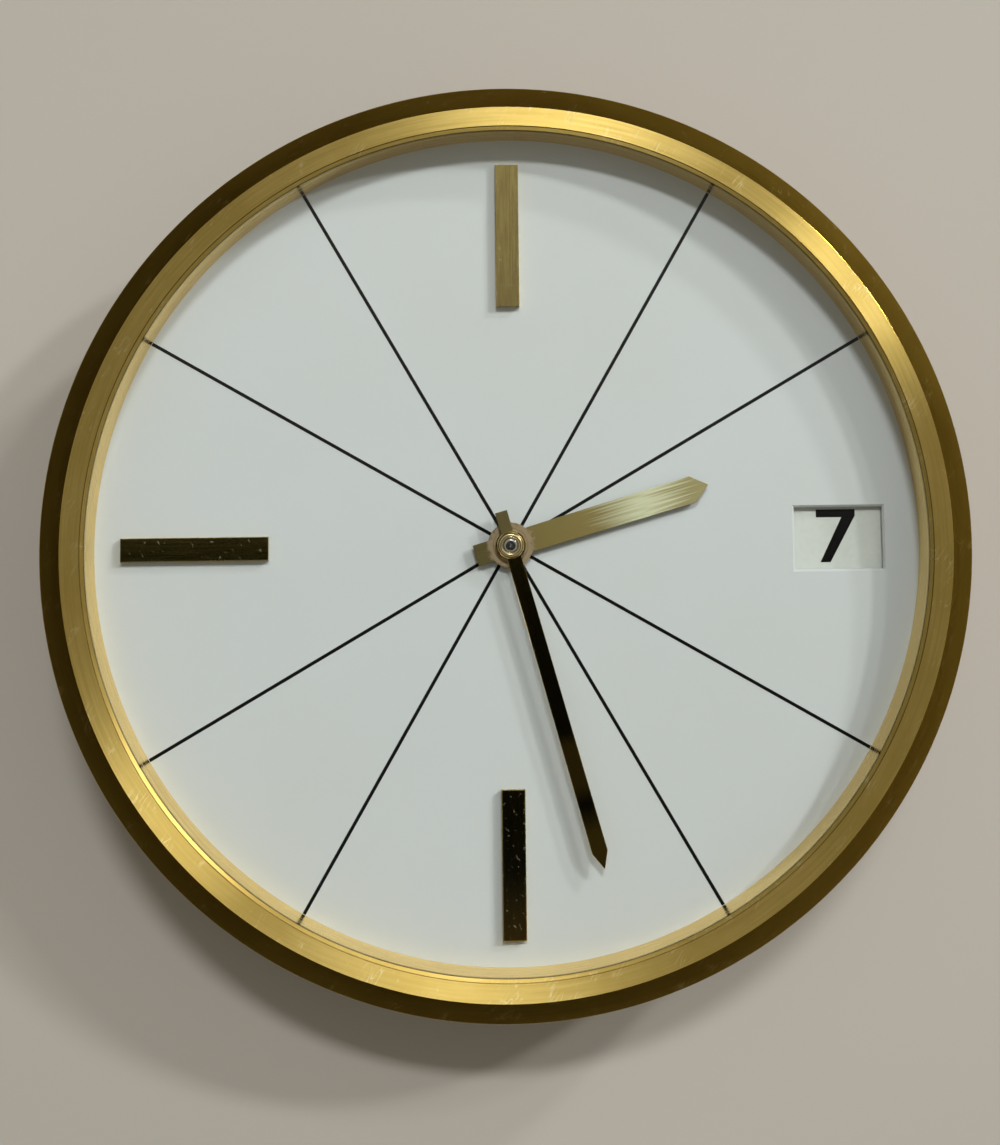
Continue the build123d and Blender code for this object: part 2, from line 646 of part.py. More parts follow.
# Main plate and back plate, with bearing holes for every arbor
pillar_places = ring_of(PILLAR_CIRCLE_R, PILLAR_ANGLES)
train_places = [INTER, THIRD, FOURTH]
main_plate = disc(PLATE_R, Z_MAIN_IN, Z_MAIN)
main_plate = holes(main_plate, [CENTRE, SETTING], ARBOR_R + BORE_FIT, Z_MAIN_IN, Z_MAIN)
main_plate = holes(main_plate, [BARREL], BARREL_ARBOR_R + BORE_FIT, Z_MAIN_IN, Z_MAIN)
main_plate = holes(main_plate, train_places, PIVOT_R + RUN_FIT, Z_MAIN_IN, Z_MAIN)
main_plate = holes(main_plate, [ESCAPE, PALLET, BALANCE], JEWEL_R, Z_MAIN_IN, Z_MAIN)
main_plate = holes(main_plate, [MINUTE, DAY], POST_R, Z_MAIN_IN, Z_MAIN)
main_plate = holes(main_plate, pillar_places, TENON_R, Z_MAIN_IN, Z_MAIN)
nodes["main_plate"] = holes(main_plate, plate_screw_places + [JUMPER_FOOT], SCREW_R, Z_MAIN_IN, Z_MAIN)
nodes["plate_screws"] = Compound([screw(place, Z_MAIN_IN, plate_screw_l) for place in plate_screw_places])

back_plate = disc(PLATE_R, Z_BACK, Z_BACK_IN)
back_plate = holes(back_plate, [BALANCE], BALANCE_R + BALANCE_ROOM, Z_BACK, Z_BACK_IN)
back_plate = holes(back_plate, [BARREL], BARREL_ARBOR_R + BORE_FIT, Z_BACK, Z_BACK_IN)
back_plate = holes(back_plate, [SETTING], ARBOR_R + BORE_FIT, Z_BACK, Z_BACK_IN)
back_plate = holes(back_plate, [CENTRE] + train_places, PIVOT_R + RUN_FIT, Z_BACK, Z_BACK_IN)
back_plate = holes(back_plate, [ESCAPE, PALLET], JEWEL_R, Z_BACK, Z_BACK_IN)
nodes["back_plate"] = holes(
    back_plate, pillar_places + [COCK_FOOT, CLICK_FOOT], SCREW_R, Z_BACK, Z_BACK_IN,
)
pillar_screw_l = PLATE_T + TRAIN_GAP / 2
pillars = []
for place in pillar_places:
    pillar = disc(PILLAR_R, Z_BACK_IN, Z_MAIN_IN, place) + disc(TENON_R, Z_MAIN_IN, Z_MAIN, place)
    pillars.append(pillar - disc(SCREW_R, Z_BACK_IN, Z_BACK + pillar_screw_l, place))
nodes["pillars"] = Compound(pillars)
nodes["pillar_screws"] = Compound([screw(place, Z_BACK, pillar_screw_l) for place in pillar_places])
jewel_seats = [
    (ESCAPE, Z_BACK, Z_BACK_IN), (ESCAPE, Z_MAIN_IN, Z_MAIN), (PALLET, Z_BACK, Z_BACK_IN),
    (PALLET, Z_MAIN_IN, Z_MAIN), (BALANCE, Z_COCK, Z_COCK + COCK_T), (BALANCE, Z_MAIN_IN, Z_MAIN),
]
jewel_bore_r = STAFF_PIVOT_R + RUN_FIT
nodes["jewels"] = Compound([tube(JEWEL_R, jewel_bore_r, low, high, at) for at, low, high in jewel_seats])

# Barrel with its cover, arbor and mainspring
barrel_floor = Z_BARREL + BARREL_WALL
barrel = slab(gear_face(BARREL_TEETH, BARREL_MODULE, 0, BARREL), Z_BARREL, barrel_floor)
barrel = barrel + tube(BARREL_R, BARREL_R - BARREL_WALL, barrel_floor, Z_BARREL_TOP, BARREL)
nodes["barrel"] = holes(barrel, [BARREL], BARREL_ARBOR_R + BORE_FIT, Z_BARREL, barrel_floor)
cover_low = Z_BARREL_TOP - WHEEL_T
nodes["barrel_cover"] = tube(
    BARREL_R - BARREL_WALL, BARREL_ARBOR_R + BORE_FIT, cover_low, Z_BARREL_TOP, BARREL,
)
core = disc(CORE_R, barrel_floor + FACE_GAP, cover_low - FACE_GAP, BARREL)
nodes["barrel_arbor"] = core + disc(BARREL_ARBOR_R, Z_COVER, Z_MAIN - FACE_GAP, BARREL)
mainspring_in_r = CORE_R + MAINSPRING_W / 2 + FACE_GAP
mainspring_step = (BARREL_R - BARREL_WALL - 2 * FACE_GAP - mainspring_in_r) / (2 * MAINSPRING_TURNS + 1)
mainspring = slab(
    spiral(mainspring_in_r, mainspring_step, MAINSPRING_TURNS, MAINSPRING_W),
    barrel_floor + FACE_GAP, cover_low - FACE_GAP,
)
nodes["mainspring"] = Pos(BARREL[0], BARREL[1], 0) * mainspring
print_spring_gap("mainspring", mainspring_step, MAINSPRING_W)

# Ratchet wheel, and the click spring that lets it turn one way only
ratchet_pitch = 360 / RATCHET_TEETH
ratchet_points = []
for tooth in range(RATCHET_TEETH):
    step_angle = CLICK_ANGLE + tooth * ratchet_pitch
    ratchet_points.append(polar(RATCHET_R - RATCHET_TOOTH, step_angle, BARREL))
    ratchet_points.append(polar(RATCHET_R, step_angle, BARREL))
ratchet = slab(polygon(ratchet_points), Z_RATCHET, Z_BACK - FACE_GAP)
nodes["ratchet_wheel"] = ratchet - disc(BARREL_ARBOR_R, Z_RATCHET, Z_BACK - FACE_GAP, BARREL)
click_out_r = RATCHET_R + CLICK_OUT
click_nose = polygon([
    polar(RATCHET_R - RATCHET_TOOTH / 2, CLICK_ANGLE - CLICK_NOSE_TURN, BARREL),
    polar(click_out_r, CLICK_ANGLE - CLICK_NOSE_TURN, BARREL),
    polar(click_out_r, CLICK_ANGLE - CLICK_HEEL_TURN, BARREL),
])
click_strip = bar(CLICK_FOOT, polar(click_out_r, CLICK_ANGLE - CLICK_STRIP_TURN, BARREL), STRIP_W)
click = slab(click_nose + click_strip, Z_RATCHET, Z_BACK - FACE_GAP)
click = click + disc(SPRING_FOOT_R, Z_RATCHET, Z_BACK, CLICK_FOOT)
nodes["click_spring"] = holes(click, [CLICK_FOOT], SCREW_R, Z_RATCHET, Z_BACK)
click_screw_l = Z_BACK_IN - Z_RATCHET
nodes["click_screw"] = screw(CLICK_FOOT, Z_RATCHET, click_screw_l)

# Going train from the barrel to the escape wheel
inter_pinion_phase = mesh_phase(0, BARREL_TEETH, INTER_PINION_TEETH, direction(BARREL, INTER))
centre_pinion_phase = mesh_phase(0, INTER_TEETH, CENTRE_PINION_TEETH, direction(INTER, CENTRE))
third_pinion_phase = mesh_phase(0, CENTRE_TEETH, THIRD_PINION_TEETH, direction(CENTRE, THIRD))
fourth_pinion_phase = mesh_phase(0, THIRD_TEETH, FOURTH_PINION_TEETH, direction(THIRD, FOURTH))
escape_pinion_phase = mesh_phase(0, FOURTH_TEETH, ESCAPE_PINION_TEETH, direction(FOURTH, ESCAPE))

inter_wheel = crossed_wheel(INTER_TEETH, INTER_MODULE, 0, INTER, Z_INTER_WHEEL)
inter_arbor = train_arbor(INTER, INTER_PINION_TEETH, BARREL_MODULE, inter_pinion_phase, Z_BARREL)
nodes["intermediate_wheel"] = inter_wheel + inter_arbor
centre_wheel = crossed_wheel(CENTRE_TEETH, CENTRE_MODULE, 0, CENTRE, Z_CENTRE_WHEEL)
nodes["centre_wheel"] = centre_wheel - disc(ARBOR_R, Z_CENTRE_WHEEL, Z_CENTRE_WHEEL + WHEEL_T)
arbor_top = Z_MINUTE_TOP + PIPE_SHOW + ARBOR_DOME
centre_shaft = disc(ARBOR_R, Z_BACK_IN + FACE_GAP, arbor_top)
centre_shaft = fillet(centre_shaft.edges().group_by(Axis.Z)[-1], ARBOR_DOME)
centre_leaves = slab(
    gear_face(CENTRE_PINION_TEETH, INTER_MODULE, centre_pinion_phase),
    Z_INTER_WHEEL - PINION_OVERLAP, Z_MAIN_IN - FACE_GAP,
)
nodes["centre_arbor"] = centre_shaft + centre_leaves + disc(PIVOT_R, Z_BACK + FACE_GAP, Z_MAIN_IN)
third_wheel = crossed_wheel(THIRD_TEETH, THIRD_MODULE, 0, THIRD, Z_THIRD_WHEEL)
third_arbor = train_arbor(THIRD, THIRD_PINION_TEETH, CENTRE_MODULE, third_pinion_phase, Z_CENTRE_WHEEL)
nodes["third_wheel"] = third_wheel + third_arbor
fourth_wheel = crossed_wheel(FOURTH_TEETH, FOURTH_MODULE, 0, FOURTH, Z_FOURTH_WHEEL)
fourth_arbor = train_arbor(FOURTH, FOURTH_PINION_TEETH, THIRD_MODULE, fourth_pinion_phase, Z_THIRD_WHEEL)
nodes["fourth_wheel"] = fourth_wheel + fourth_arbor
escape_points = []
escape_pitch = 360 / ESCAPE_TEETH
for tooth in range(ESCAPE_TEETH):
    start = tooth * escape_pitch
    for share, depth in ESCAPE_SHAPE:
        radius = ESCAPE_R - depth * ESCAPE_TOOTH
        escape_points.append(polar(radius, start + share * escape_pitch, ESCAPE))
escape_wheel = slab(polygon(escape_points), Z_ESCAPE_WHEEL, Z_ESCAPE_WHEEL + WHEEL_T)
escape_arbor = train_arbor(
    ESCAPE, ESCAPE_PINION_TEETH, FOURTH_MODULE, escape_pinion_phase, Z_FOURTH_WHEEL, STAFF_PIVOT_R,
)
nodes["escape_wheel"] = escape_wheel + escape_arbor

# Pallet lever, with its two stones and its fork
lever_low, lever_high = Z_ESCAPE_WHEEL, Z_ESCAPE_WHEEL + WHEEL_T
stone_r = ESCAPE_R + PALLET_GAP
lever_face = Pos(*PALLET) * Circle(LEVER_BOSS_R)
for side in (-1, 1):
    way = PALLET_ANGLE + side * PALLET_SPAN / 2
    lever_face = lever_face + bar(PALLET, polar(stone_r + STONE_GRIP, way, ESCAPE), LEVER_W)
    stone = bar(polar(stone_r, way, ESCAPE), polar(stone_r + STONE_L, way, ESCAPE), LEVER_W)
    lever_face = lever_face + stone
fork = polar(LEVER_L - ROLLER_R, BALANCE_ANGLE, PALLET)
lever_face = lever_face + bar(PALLET, fork, LEVER_W) + Pos(*fork) * Circle(FORK_R)
lever_face = lever_face - bar(fork, BALANCE, FORK_SLOT_W)
lever = slab(lever_face, lever_low, lever_high)
lever_staff = disc(STAFF_R, Z_BACK_IN + FACE_GAP, Z_MAIN_IN - FACE_GAP, PALLET)
lever_pivots = disc(STAFF_PIVOT_R, Z_BACK + FACE_GAP, Z_MAIN - FACE_GAP, PALLET)
nodes["pallet_lever"] = lever + lever_staff + lever_pivots

# Balance on its staff, hairspring and cock
balance_high = Z_BALANCE + BALANCE_T
balance = tube(BALANCE_R, BALANCE_R - BALANCE_RIM_W, Z_BALANCE, balance_high, BALANCE)
rim_middle_r = BALANCE_R - BALANCE_RIM_W / 2
for way in (BALANCE_ANGLE, BALANCE_ANGLE + 180):
    arm = bar(BALANCE, polar(rim_middle_r, way, BALANCE), SPOKE_W)
    balance = balance + slab(arm, Z_BALANCE, balance_high)
cock_high = Z_COCK + COCK_T
collet_low = cock_high + FACE_GAP
balance = balance + disc(COLLET_R, collet_low, Z_ROLLER + FACE_GAP, BALANCE)
balance = balance + disc(STAFF_R, collet_low, Z_MAIN_IN - FACE_GAP, BALANCE)
balance = balance + disc(STAFF_PIVOT_R, Z_COCK + FACE_GAP, Z_MAIN - FACE_GAP, BALANCE)
balance = balance + disc(ROLLER_R, Z_ROLLER, Z_ROLLER + WHEEL_T, BALANCE)
impulse_place = polar(ROLLER_R - 2 * STAFF_PIVOT_R, BALANCE_ANGLE + 180, BALANCE)
balance = balance + disc(STAFF_PIVOT_R, Z_ROLLER + WHEEL_T, lever_low - FACE_GAP, impulse_place)
nodes["balance_wheel"] = balance
hairspring_in_r = COLLET_R + HAIRSPRING_W / 2 + FACE_GAP
hairspring_low = collet_low + FACE_GAP
hairspring = slab(
    spiral(hairspring_in_r, HAIRSPRING_STEP, HAIRSPRING_TURNS, HAIRSPRING_W),
    hairspring_low, Z_BALANCE - FACE_GAP,
)
nodes["hairspring"] = Pos(BALANCE[0], BALANCE[1], 0) * hairspring
print_spring_gap("hairspring", HAIRSPRING_STEP, HAIRSPRING_W)
cock_face = bar(COCK_FOOT, BALANCE, COCK_W) + Pos(*BALANCE) * Circle(COCK_EYE_R)
cock_face = cock_face + Pos(*COCK_FOOT) * Circle(COCK_W / 2)
cock = slab(cock_face, Z_COCK, cock_high) + disc(COCK_W / 2, cock_high, Z_BACK, COCK_FOOT)
cock_head_z = Z_COCK + SCREW_HEAD_H
cock = holes(cock, [COCK_FOOT], SCREW_HEAD_R, Z_COCK, cock_head_z)
cock = holes(cock, [COCK_FOOT], SCREW_R, cock_head_z, Z_BACK)
nodes["balance_cock"] = holes(cock, [BALANCE], JEWEL_R, Z_COCK, cock_high)
nodes["cock_screw"] = screw(COCK_FOOT, cock_head_z, Z_BACK_IN - cock_head_z)

# Setting arbor and knob
setting_pinion = slab(
    gear_face(SETTING_TEETH, MOTION_MODULE, setting_phase, SETTING), Z_MINUTE_WHEEL, Z_MINUTE_WHEEL + WHEEL_T,
)
nodes["setting_arbor"] = setting_pinion + disc(ARBOR_R, Z_COVER, Z_MINUTE_WHEEL + WHEEL_T, SETTING)
knob_low = (RECESS - KNOB_H) / 2
knob_points = []
for flute in range(KNOB_FLUTES):
    for share, depth in KNOB_SHAPE:
        radius = KNOB_R - depth * KNOB_FLUTE
        knob_points.append(polar(radius, (flute + share) * 360 / KNOB_FLUTES, SETTING))
knob_sleeve_r = ARBOR_R + SLEEVE_WALL
knob = slab(polygon(knob_points), knob_low, knob_low + KNOB_H)
knob = knob + disc(knob_sleeve_r, knob_low + KNOB_H, Z_COVER_IN, SETTING)
nodes["setting_knob"] = knob - disc(ARBOR_R, Z_COVER, Z_COVER_IN, SETTING)

# Winding key with a bow that folds flat into the recess
key_head_low = knob_low
key_sleeve_r = BARREL_ARBOR_R + SLEEVE_WALL
key_head_top = Z_COVER - FACE_GAP
key = disc(KEY_HEAD_R, key_head_low, key_head_top, BARREL)
key = key + disc(key_sleeve_r, key_head_top, Z_RATCHET - FACE_GAP, BARREL)
key = key - disc(BARREL_ARBOR_R, Z_COVER, Z_RATCHET - FACE_GAP, BARREL)
slot_top = Z_HINGE + STRUT_T
slot = Box(KEY_SLOT_W, 2 * KEY_HEAD_R, slot_top, align=(Align.CENTER, Align.CENTER, Align.MIN))
key = key - Pos(BARREL[0], BARREL[1], 0) * slot


def pin_along_x(radius, length, at):
    return Pos(*at) * Rot(0, 90, 0) * Cylinder(radius, length)


key_pin_at = (BARREL[0], BARREL[1], Z_HINGE)
key_pin = pin_along_x(KEY_PIN_R, 2 * math.sqrt(KEY_HEAD_R**2 - KEY_PIN_R**2), key_pin_at)
nodes["key_stem"] = key - key_pin
nodes["key_pin"] = key_pin
bow_low = Z_HINGE - STRUT_T / 2
neck_w = KEY_SLOT_W - 2 * FACE_GAP
bow_start = KEY_HEAD_R + BOW_GAP
bow_l = BOW_REACH - bow_start
bow_face = Pos(0, bow_start + bow_l / 2) * RectangleRounded(BOW_W, bow_l, BOW_ROUND)
bow_face = bow_face + Pos(0, bow_start / 2 + FACE_GAP) * Rectangle(neck_w, bow_start + 2 * FACE_GAP)
bow = Pos(BARREL[0], BARREL[1], 0) * slab(bow_face, bow_low, bow_low + STRUT_T)
bow = bow + pin_along_x(BOW_KNUCKLE_R, neck_w, key_pin_at)
nodes["key_bow"] = bow - pin_along_x(KEY_PIN_R + BORE_FIT, neck_w, key_pin_at)

# Back cover, seated in the drum's rim
cover = disc(COVER_R, Z_COVER, Z_COVER_IN)
cover = holes(cover, cover_screw_places, SCREW_R, Z_COVER, Z_COVER_IN)
cover = holes(cover, [BARREL], key_sleeve_r + 2 * CASE_FIT, Z_COVER, Z_COVER_IN)
cover = holes(cover, [SETTING], knob_sleeve_r + 2 * CASE_FIT, Z_COVER, Z_COVER_IN)
lug_in_x = STRUT_TOP_W / 2 + LUG_GAP
lug_out_x = lug_in_x + LUG_W
bracket_y = HINGE_Y + KNUCKLE_R + LUG_GAP
bracket_screw_places = [(side * lug_in_x / 2, bracket_y + BRACKET_L / 2) for side in (-1, 1)]
bracket_face_z = Z_COVER - BRACKET_T
nodes["back_cover"] = holes(cover, bracket_screw_places, SCREW_R, Z_COVER, Z_COVER_IN)
nodes["cover_screws"] = Compound([screw(place, Z_COVER, cover_screw_l) for place in cover_screw_places])

# Folding strut on its bracket
hinge_at = (0, HINGE_Y, Z_HINGE)
bracket = slab(
    polygon([(-lug_out_x, bracket_y), (lug_out_x, bracket_y),
             (lug_out_x, bracket_y + BRACKET_L), (-lug_out_x, bracket_y + BRACKET_L)]),
    bracket_face_z, Z_COVER,
)
for side in (-1, 1):
    middle_x = side * (lug_in_x + lug_out_x) / 2
    cheek_h = Z_COVER - Z_HINGE
    cheek_l = KNUCKLE_R + bracket_y - HINGE_Y + LUG_W
    cheek = Box(LUG_W, cheek_l, cheek_h, align=(Align.CENTER, Align.MIN, Align.MIN))
    bracket = bracket + Pos(middle_x, HINGE_Y - KNUCKLE_R, Z_HINGE) * cheek
    bracket = bracket + pin_along_x(KNUCKLE_R, LUG_W, (middle_x, HINGE_Y, Z_HINGE))
bracket = holes(bracket, bracket_screw_places, SCREW_R, bracket_face_z, Z_COVER)
strut_pin = pin_along_x(HINGE_PIN_R, 2 * lug_out_x, hinge_at)
nodes["strut_bracket"] = bracket - strut_pin
nodes["strut_pin"] = strut_pin
nodes["bracket_screws"] = Compound([
    screw(place, bracket_face_z, BRACKET_T + COVER_T) for place in bracket_screw_places
])
foot_y = STRUT_EDGE - RIM_IN_R
strut_face = polygon([
    (-STRUT_TOP_W / 2, HINGE_Y), (STRUT_TOP_W / 2, HINGE_Y),
    (STRUT_FOOT_W / 2, foot_y), (-STRUT_FOOT_W / 2, foot_y),
])
strut_low = Z_HINGE - STRUT_T / 2
strut = slab(strut_face, strut_low, strut_low + STRUT_T)
foot_edges = strut.edges().filter_by(Axis.Z).group_by(Axis.Y)[0]
strut = fillet(foot_edges, STRUT_ROUND) + pin_along_x(KNUCKLE_R, STRUT_TOP_W, hinge_at)
nodes["strut"] = strut - pin_along_x(HINGE_PIN_R + BORE_FIT, STRUT_FOOT_W, hinge_at)

os.makedirs("parts", exist_ok=True)
for name, shape in nodes.items():
    export_step(shape, f"parts/{name}.step")
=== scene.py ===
import json
import math
import bmesh
import bpy
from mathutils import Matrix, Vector

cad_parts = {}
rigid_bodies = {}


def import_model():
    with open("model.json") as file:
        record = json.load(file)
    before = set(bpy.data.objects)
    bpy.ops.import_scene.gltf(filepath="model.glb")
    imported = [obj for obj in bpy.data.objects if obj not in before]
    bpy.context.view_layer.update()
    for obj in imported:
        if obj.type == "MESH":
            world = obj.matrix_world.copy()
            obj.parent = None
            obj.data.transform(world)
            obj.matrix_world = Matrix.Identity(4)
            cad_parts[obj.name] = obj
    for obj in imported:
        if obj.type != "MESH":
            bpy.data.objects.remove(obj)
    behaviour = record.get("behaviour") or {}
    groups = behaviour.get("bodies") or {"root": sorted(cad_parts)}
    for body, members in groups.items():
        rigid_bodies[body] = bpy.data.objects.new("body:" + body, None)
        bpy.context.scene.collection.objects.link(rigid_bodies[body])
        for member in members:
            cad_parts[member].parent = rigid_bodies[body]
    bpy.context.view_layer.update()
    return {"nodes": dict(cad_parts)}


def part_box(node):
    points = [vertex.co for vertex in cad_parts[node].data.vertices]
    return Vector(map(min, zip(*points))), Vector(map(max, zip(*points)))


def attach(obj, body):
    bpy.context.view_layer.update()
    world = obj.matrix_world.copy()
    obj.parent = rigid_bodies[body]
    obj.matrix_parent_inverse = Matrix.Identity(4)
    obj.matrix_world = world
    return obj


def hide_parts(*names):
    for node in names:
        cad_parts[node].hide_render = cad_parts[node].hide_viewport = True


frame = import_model()

MM = 0.001

# Sizes of the clock in millimetres, as in the part's source
CASE_R = 65.0
FLAT_R = 61.6
SIGHT_R = 58.35
BORE_R = 61.0
SEAT_R = 60.9
RING_IN_R = 58.0
RING_FLARE = 0.85
GLASS_R = 60.2
SKIRT_R = 62.2
LIP_CHAMFER = 0.5
DRUM_TOP_R = 58.4
DRUM_RIM_R = 55.0
DRUM_IN_R = 53.0
RIM_IN_R = 52.4
RIM_CHAMFER = 0.9
COVER_LEDGE_R = 49.0
HOLDER_BORE_R = 57.1
Z_COVER_IN = 4.8
Z_LEDGE = 6.9
Z_SKIRT = 14.4
Z_MAIN = 15.2
Z_DATE_TOP = 17.5
Z_DIAL_BACK = 17.9
Z_DIAL = 18.7
Z_BAND_LOW = 19.4
Z_GLASS = 22.2
Z_EDGE = 22.6
Z_LIP = 24.1
Z_FRONT = 25.2
DIAL_HOLE_R = 2.9
WINDOW_R = 46.6
WINDOW_L = 12.6
WINDOW_W = 8.8
WINDOW_SLOPE = 0.3
WINDOW_LIFT = 0.43
BATON_IN_R = 33.8
BATON_L = 20.5
BATON_W = 3.3
BATON_H = 1.1
HOURS = 2
MINUTES = 27.4
HOUR_ANGLE = 90 - 30 * (HOURS + MINUTES / 60)
MINUTE_ANGLE = 90 - 6 * MINUTES
HAND_T = 0.45
HOUR_HOLE_R = 2.4
Z_HOUR = 19.6
Z_MINUTE = 20.6
PIPE_R = 1.65
PIPE_TOP = 21.2
ARBOR_R = 1.2
ARBOR_DOME = 0.6
ARBOR_TOP = 21.8
SCREW_HEAD_R = 1.5
SCREW_HEAD_H = 0.7
DATES = 31
DATE_SHOWN = 7

# Sizes of the small detail that is made here alone
SEAM = 0.07
FLAT_EDGE = 0.02
GLASS_PLAY = 0.02
GLASS_GAP = 0.01
BATON_BEVEL = 0.1
HAND_BEVEL = 0.06
LINE_IN_R = 3.1
LINE_GAP = 0.05
LINE_W = 0.48
PRINT_T = 0.02
PRINT_LIFT = 0.012
SLOT_W = 0.42
SLOT_DEPTH = 0.36
SHANK_R = 0.69
DOME_SKIN = 0.012
DOME_STEPS = 8
BUSH_R = 1.9
BUSH_IN_R = 1.23
BUSH_LIP_R = 1.1
BUSH_SEAT = 0.18
BUSH_TOP = 21.58
BUSH_MOUTH = 0.22
BUSH_LAND_IN = 0.14
BUSH_LAND_OUT = 0.42
BUSH_SHOULDER_R = 0.08
BUSH_SHOULDER = 0.22
UV_SCALE = 20
SAME_PLACE = 1e-7


# Nodes of materials, geometry and surroundings

class Nodes:
    """Short ways to add nodes to a tree."""

    def __init__(self, tree):
        self.tree = tree

    def add(self, kind, inputs=None, **settings):
        node = self.tree.nodes.new(kind)
        for key, value in settings.items():
            setattr(node, key, value)
        for key, value in (inputs or {}).items():
            self.feed(node.inputs[key], value)
        return node

    def feed(self, socket, value):
        """Links another node's output to a socket, or sets the socket's own value."""
        if isinstance(value, bpy.types.NodeSocket):
            self.tree.links.new(value, socket)
        else:
            socket.default_value = value

    def calc(self, operation, *values):
        return self.add("ShaderNodeMath", dict(enumerate(values)), operation=operation).outputs[0]

    def vector(self, operation, *values):
        return self.add("ShaderNodeVectorMath", dict(enumerate(values)), operation=operation).outputs[0]

    def measure(self, operation, *values):
        """A number from vectors, such as a length or a dot product."""
        return self.add("ShaderNodeVectorMath", dict(enumerate(values)), operation=operation).outputs["Value"]

    def split(self, vector):
        return self.add("ShaderNodeSeparateXYZ", {0: vector}).outputs

    def joined(self, **parts):
        return self.add("ShaderNodeCombineXYZ", parts).outputs[0]

    def spread(self, value, low, high, to_low=0.0, to_high=1.0, **settings):
        """The value's place between low and high, as a place between to_low and to_high."""
        inputs = {"Value": value, "From Min": low, "From Max": high, "To Min": to_low, "To Max": to_high}
        return self.add("ShaderNodeMapRange", inputs, **settings).outputs[0]

    def blended(self, share, first, second):
        """The first colour, changing into the second as share goes from 0 to 1."""
        node = self.add("ShaderNodeMix", {"Factor": share}, data_type="RGBA")
        sockets = [socket for socket in node.inputs if socket.type == "RGBA"]
        for socket, colour in zip(sockets, (first, second)):
            self.feed(socket, colour if isinstance(colour, bpy.types.NodeSocket) else (*colour, 1.0))
        return next(socket for socket in node.outputs if socket.type == "RGBA")


class Finish(Nodes):
    """A node material with a Principled shader, which takes its detail from the piece's own coordinates."""

    def __init__(self, name, colour, roughness, metallic=0.0, **sockets):
        self.material = bpy.data.materials.new(name)
        self.material.use_nodes = True
        super().__init__(self.material.node_tree)
        self.shader = self.tree.nodes["Principled BSDF"]
        self.set("Base Color", (*colour, 1.0))
        self.set("Roughness", roughness)
        self.set("Metallic", metallic)
        for socket, value in sockets.items():
            self.set(socket.replace("_", " "), value)
        self.place = self.add("ShaderNodeTexCoord").outputs["Object"]

    def set(self, socket, value):
        self.feed(self.shader.inputs[socket], value)

    def mixed(self, share, other):
        """Shows another shader in place of the Principled one, by a share from 0 to 1."""
        both = self.add("ShaderNodeMixShader", {0: share, 1: self.shader.outputs[0], 2: other.outputs[0]})
        self.feed(self.tree.nodes["Material Output"].inputs["Surface"], both.outputs[0])

    def flat(self):
        """The place on the piece as seen along the clock's axis."""
        x, y, _ = self.split(self.place)
        return self.joined(X=x, Y=y)

    def stretched(self, scale, turn=0.0):
        """The piece's own coordinates, turned about Z by some degrees and then scaled along each axis."""
        turned = self.add("ShaderNodeMapping", {"Vector": self.place, "Rotation": (0, 0, math.radians(-turn))})
        return self.add("ShaderNodeMapping", {"Vector": turned.outputs[0], "Scale": scale}).outputs[0]

    def along(self, turn):
        """Millimetres from the clock's axis along a hand that points at some angle."""
        return self.split(self.stretched((1 / MM, 1 / MM, 1 / MM), turn))[0]

    def around(self, turns, rings):
        """Coordinates that run slowly round the clock's axis and fast across the radius, or the reverse."""
        flat = self.flat()
        height = self.split(self.place)[2]
        way = self.vector("NORMALIZE", flat)
        way = self.add("ShaderNodeVectorMath", {0: way, "Scale": turns}, operation="SCALE").outputs[0]
        across = self.calc("MULTIPLY", self.calc("ADD", self.measure("LENGTH", flat), height), rings)
        return self.vector("ADD", way, self.joined(Z=across))

    def noise(self, place, scale=1.0, detail=3.0, rough=0.55):
        inputs = {"Vector": place, "Scale": scale, "Detail": detail, "Roughness": rough}
        return self.add("ShaderNodeTexNoise", inputs).outputs["Fac"]

    def hairlines(self, place, width=0.022):
        """Thin lines where a slow noise crosses its middle, as fine scratches do."""
        level = self.calc("ABSOLUTE", self.calc("SUBTRACT", self.noise(place, detail=1.0), 0.5))
        return self.spread(level, 0.0, width, 1.0, 0.0)

    def bumped(self, height, strength, depth):
        bump = self.add("ShaderNodeBump", {"Height": height, "Strength": strength, "Distance": depth})
        self.set("Normal", bump.outputs[0])

    def brushed(self):
        """Runs the highlights across the lines of the piece's UV map."""
        way = self.add("ShaderNodeTangent", direction_type="UV_MAP", uv_map="UVMap")
        self.set("Tangent", way.outputs[0])


# Finishes

WORN_BRASS = (0.92, 0.80, 0.42)


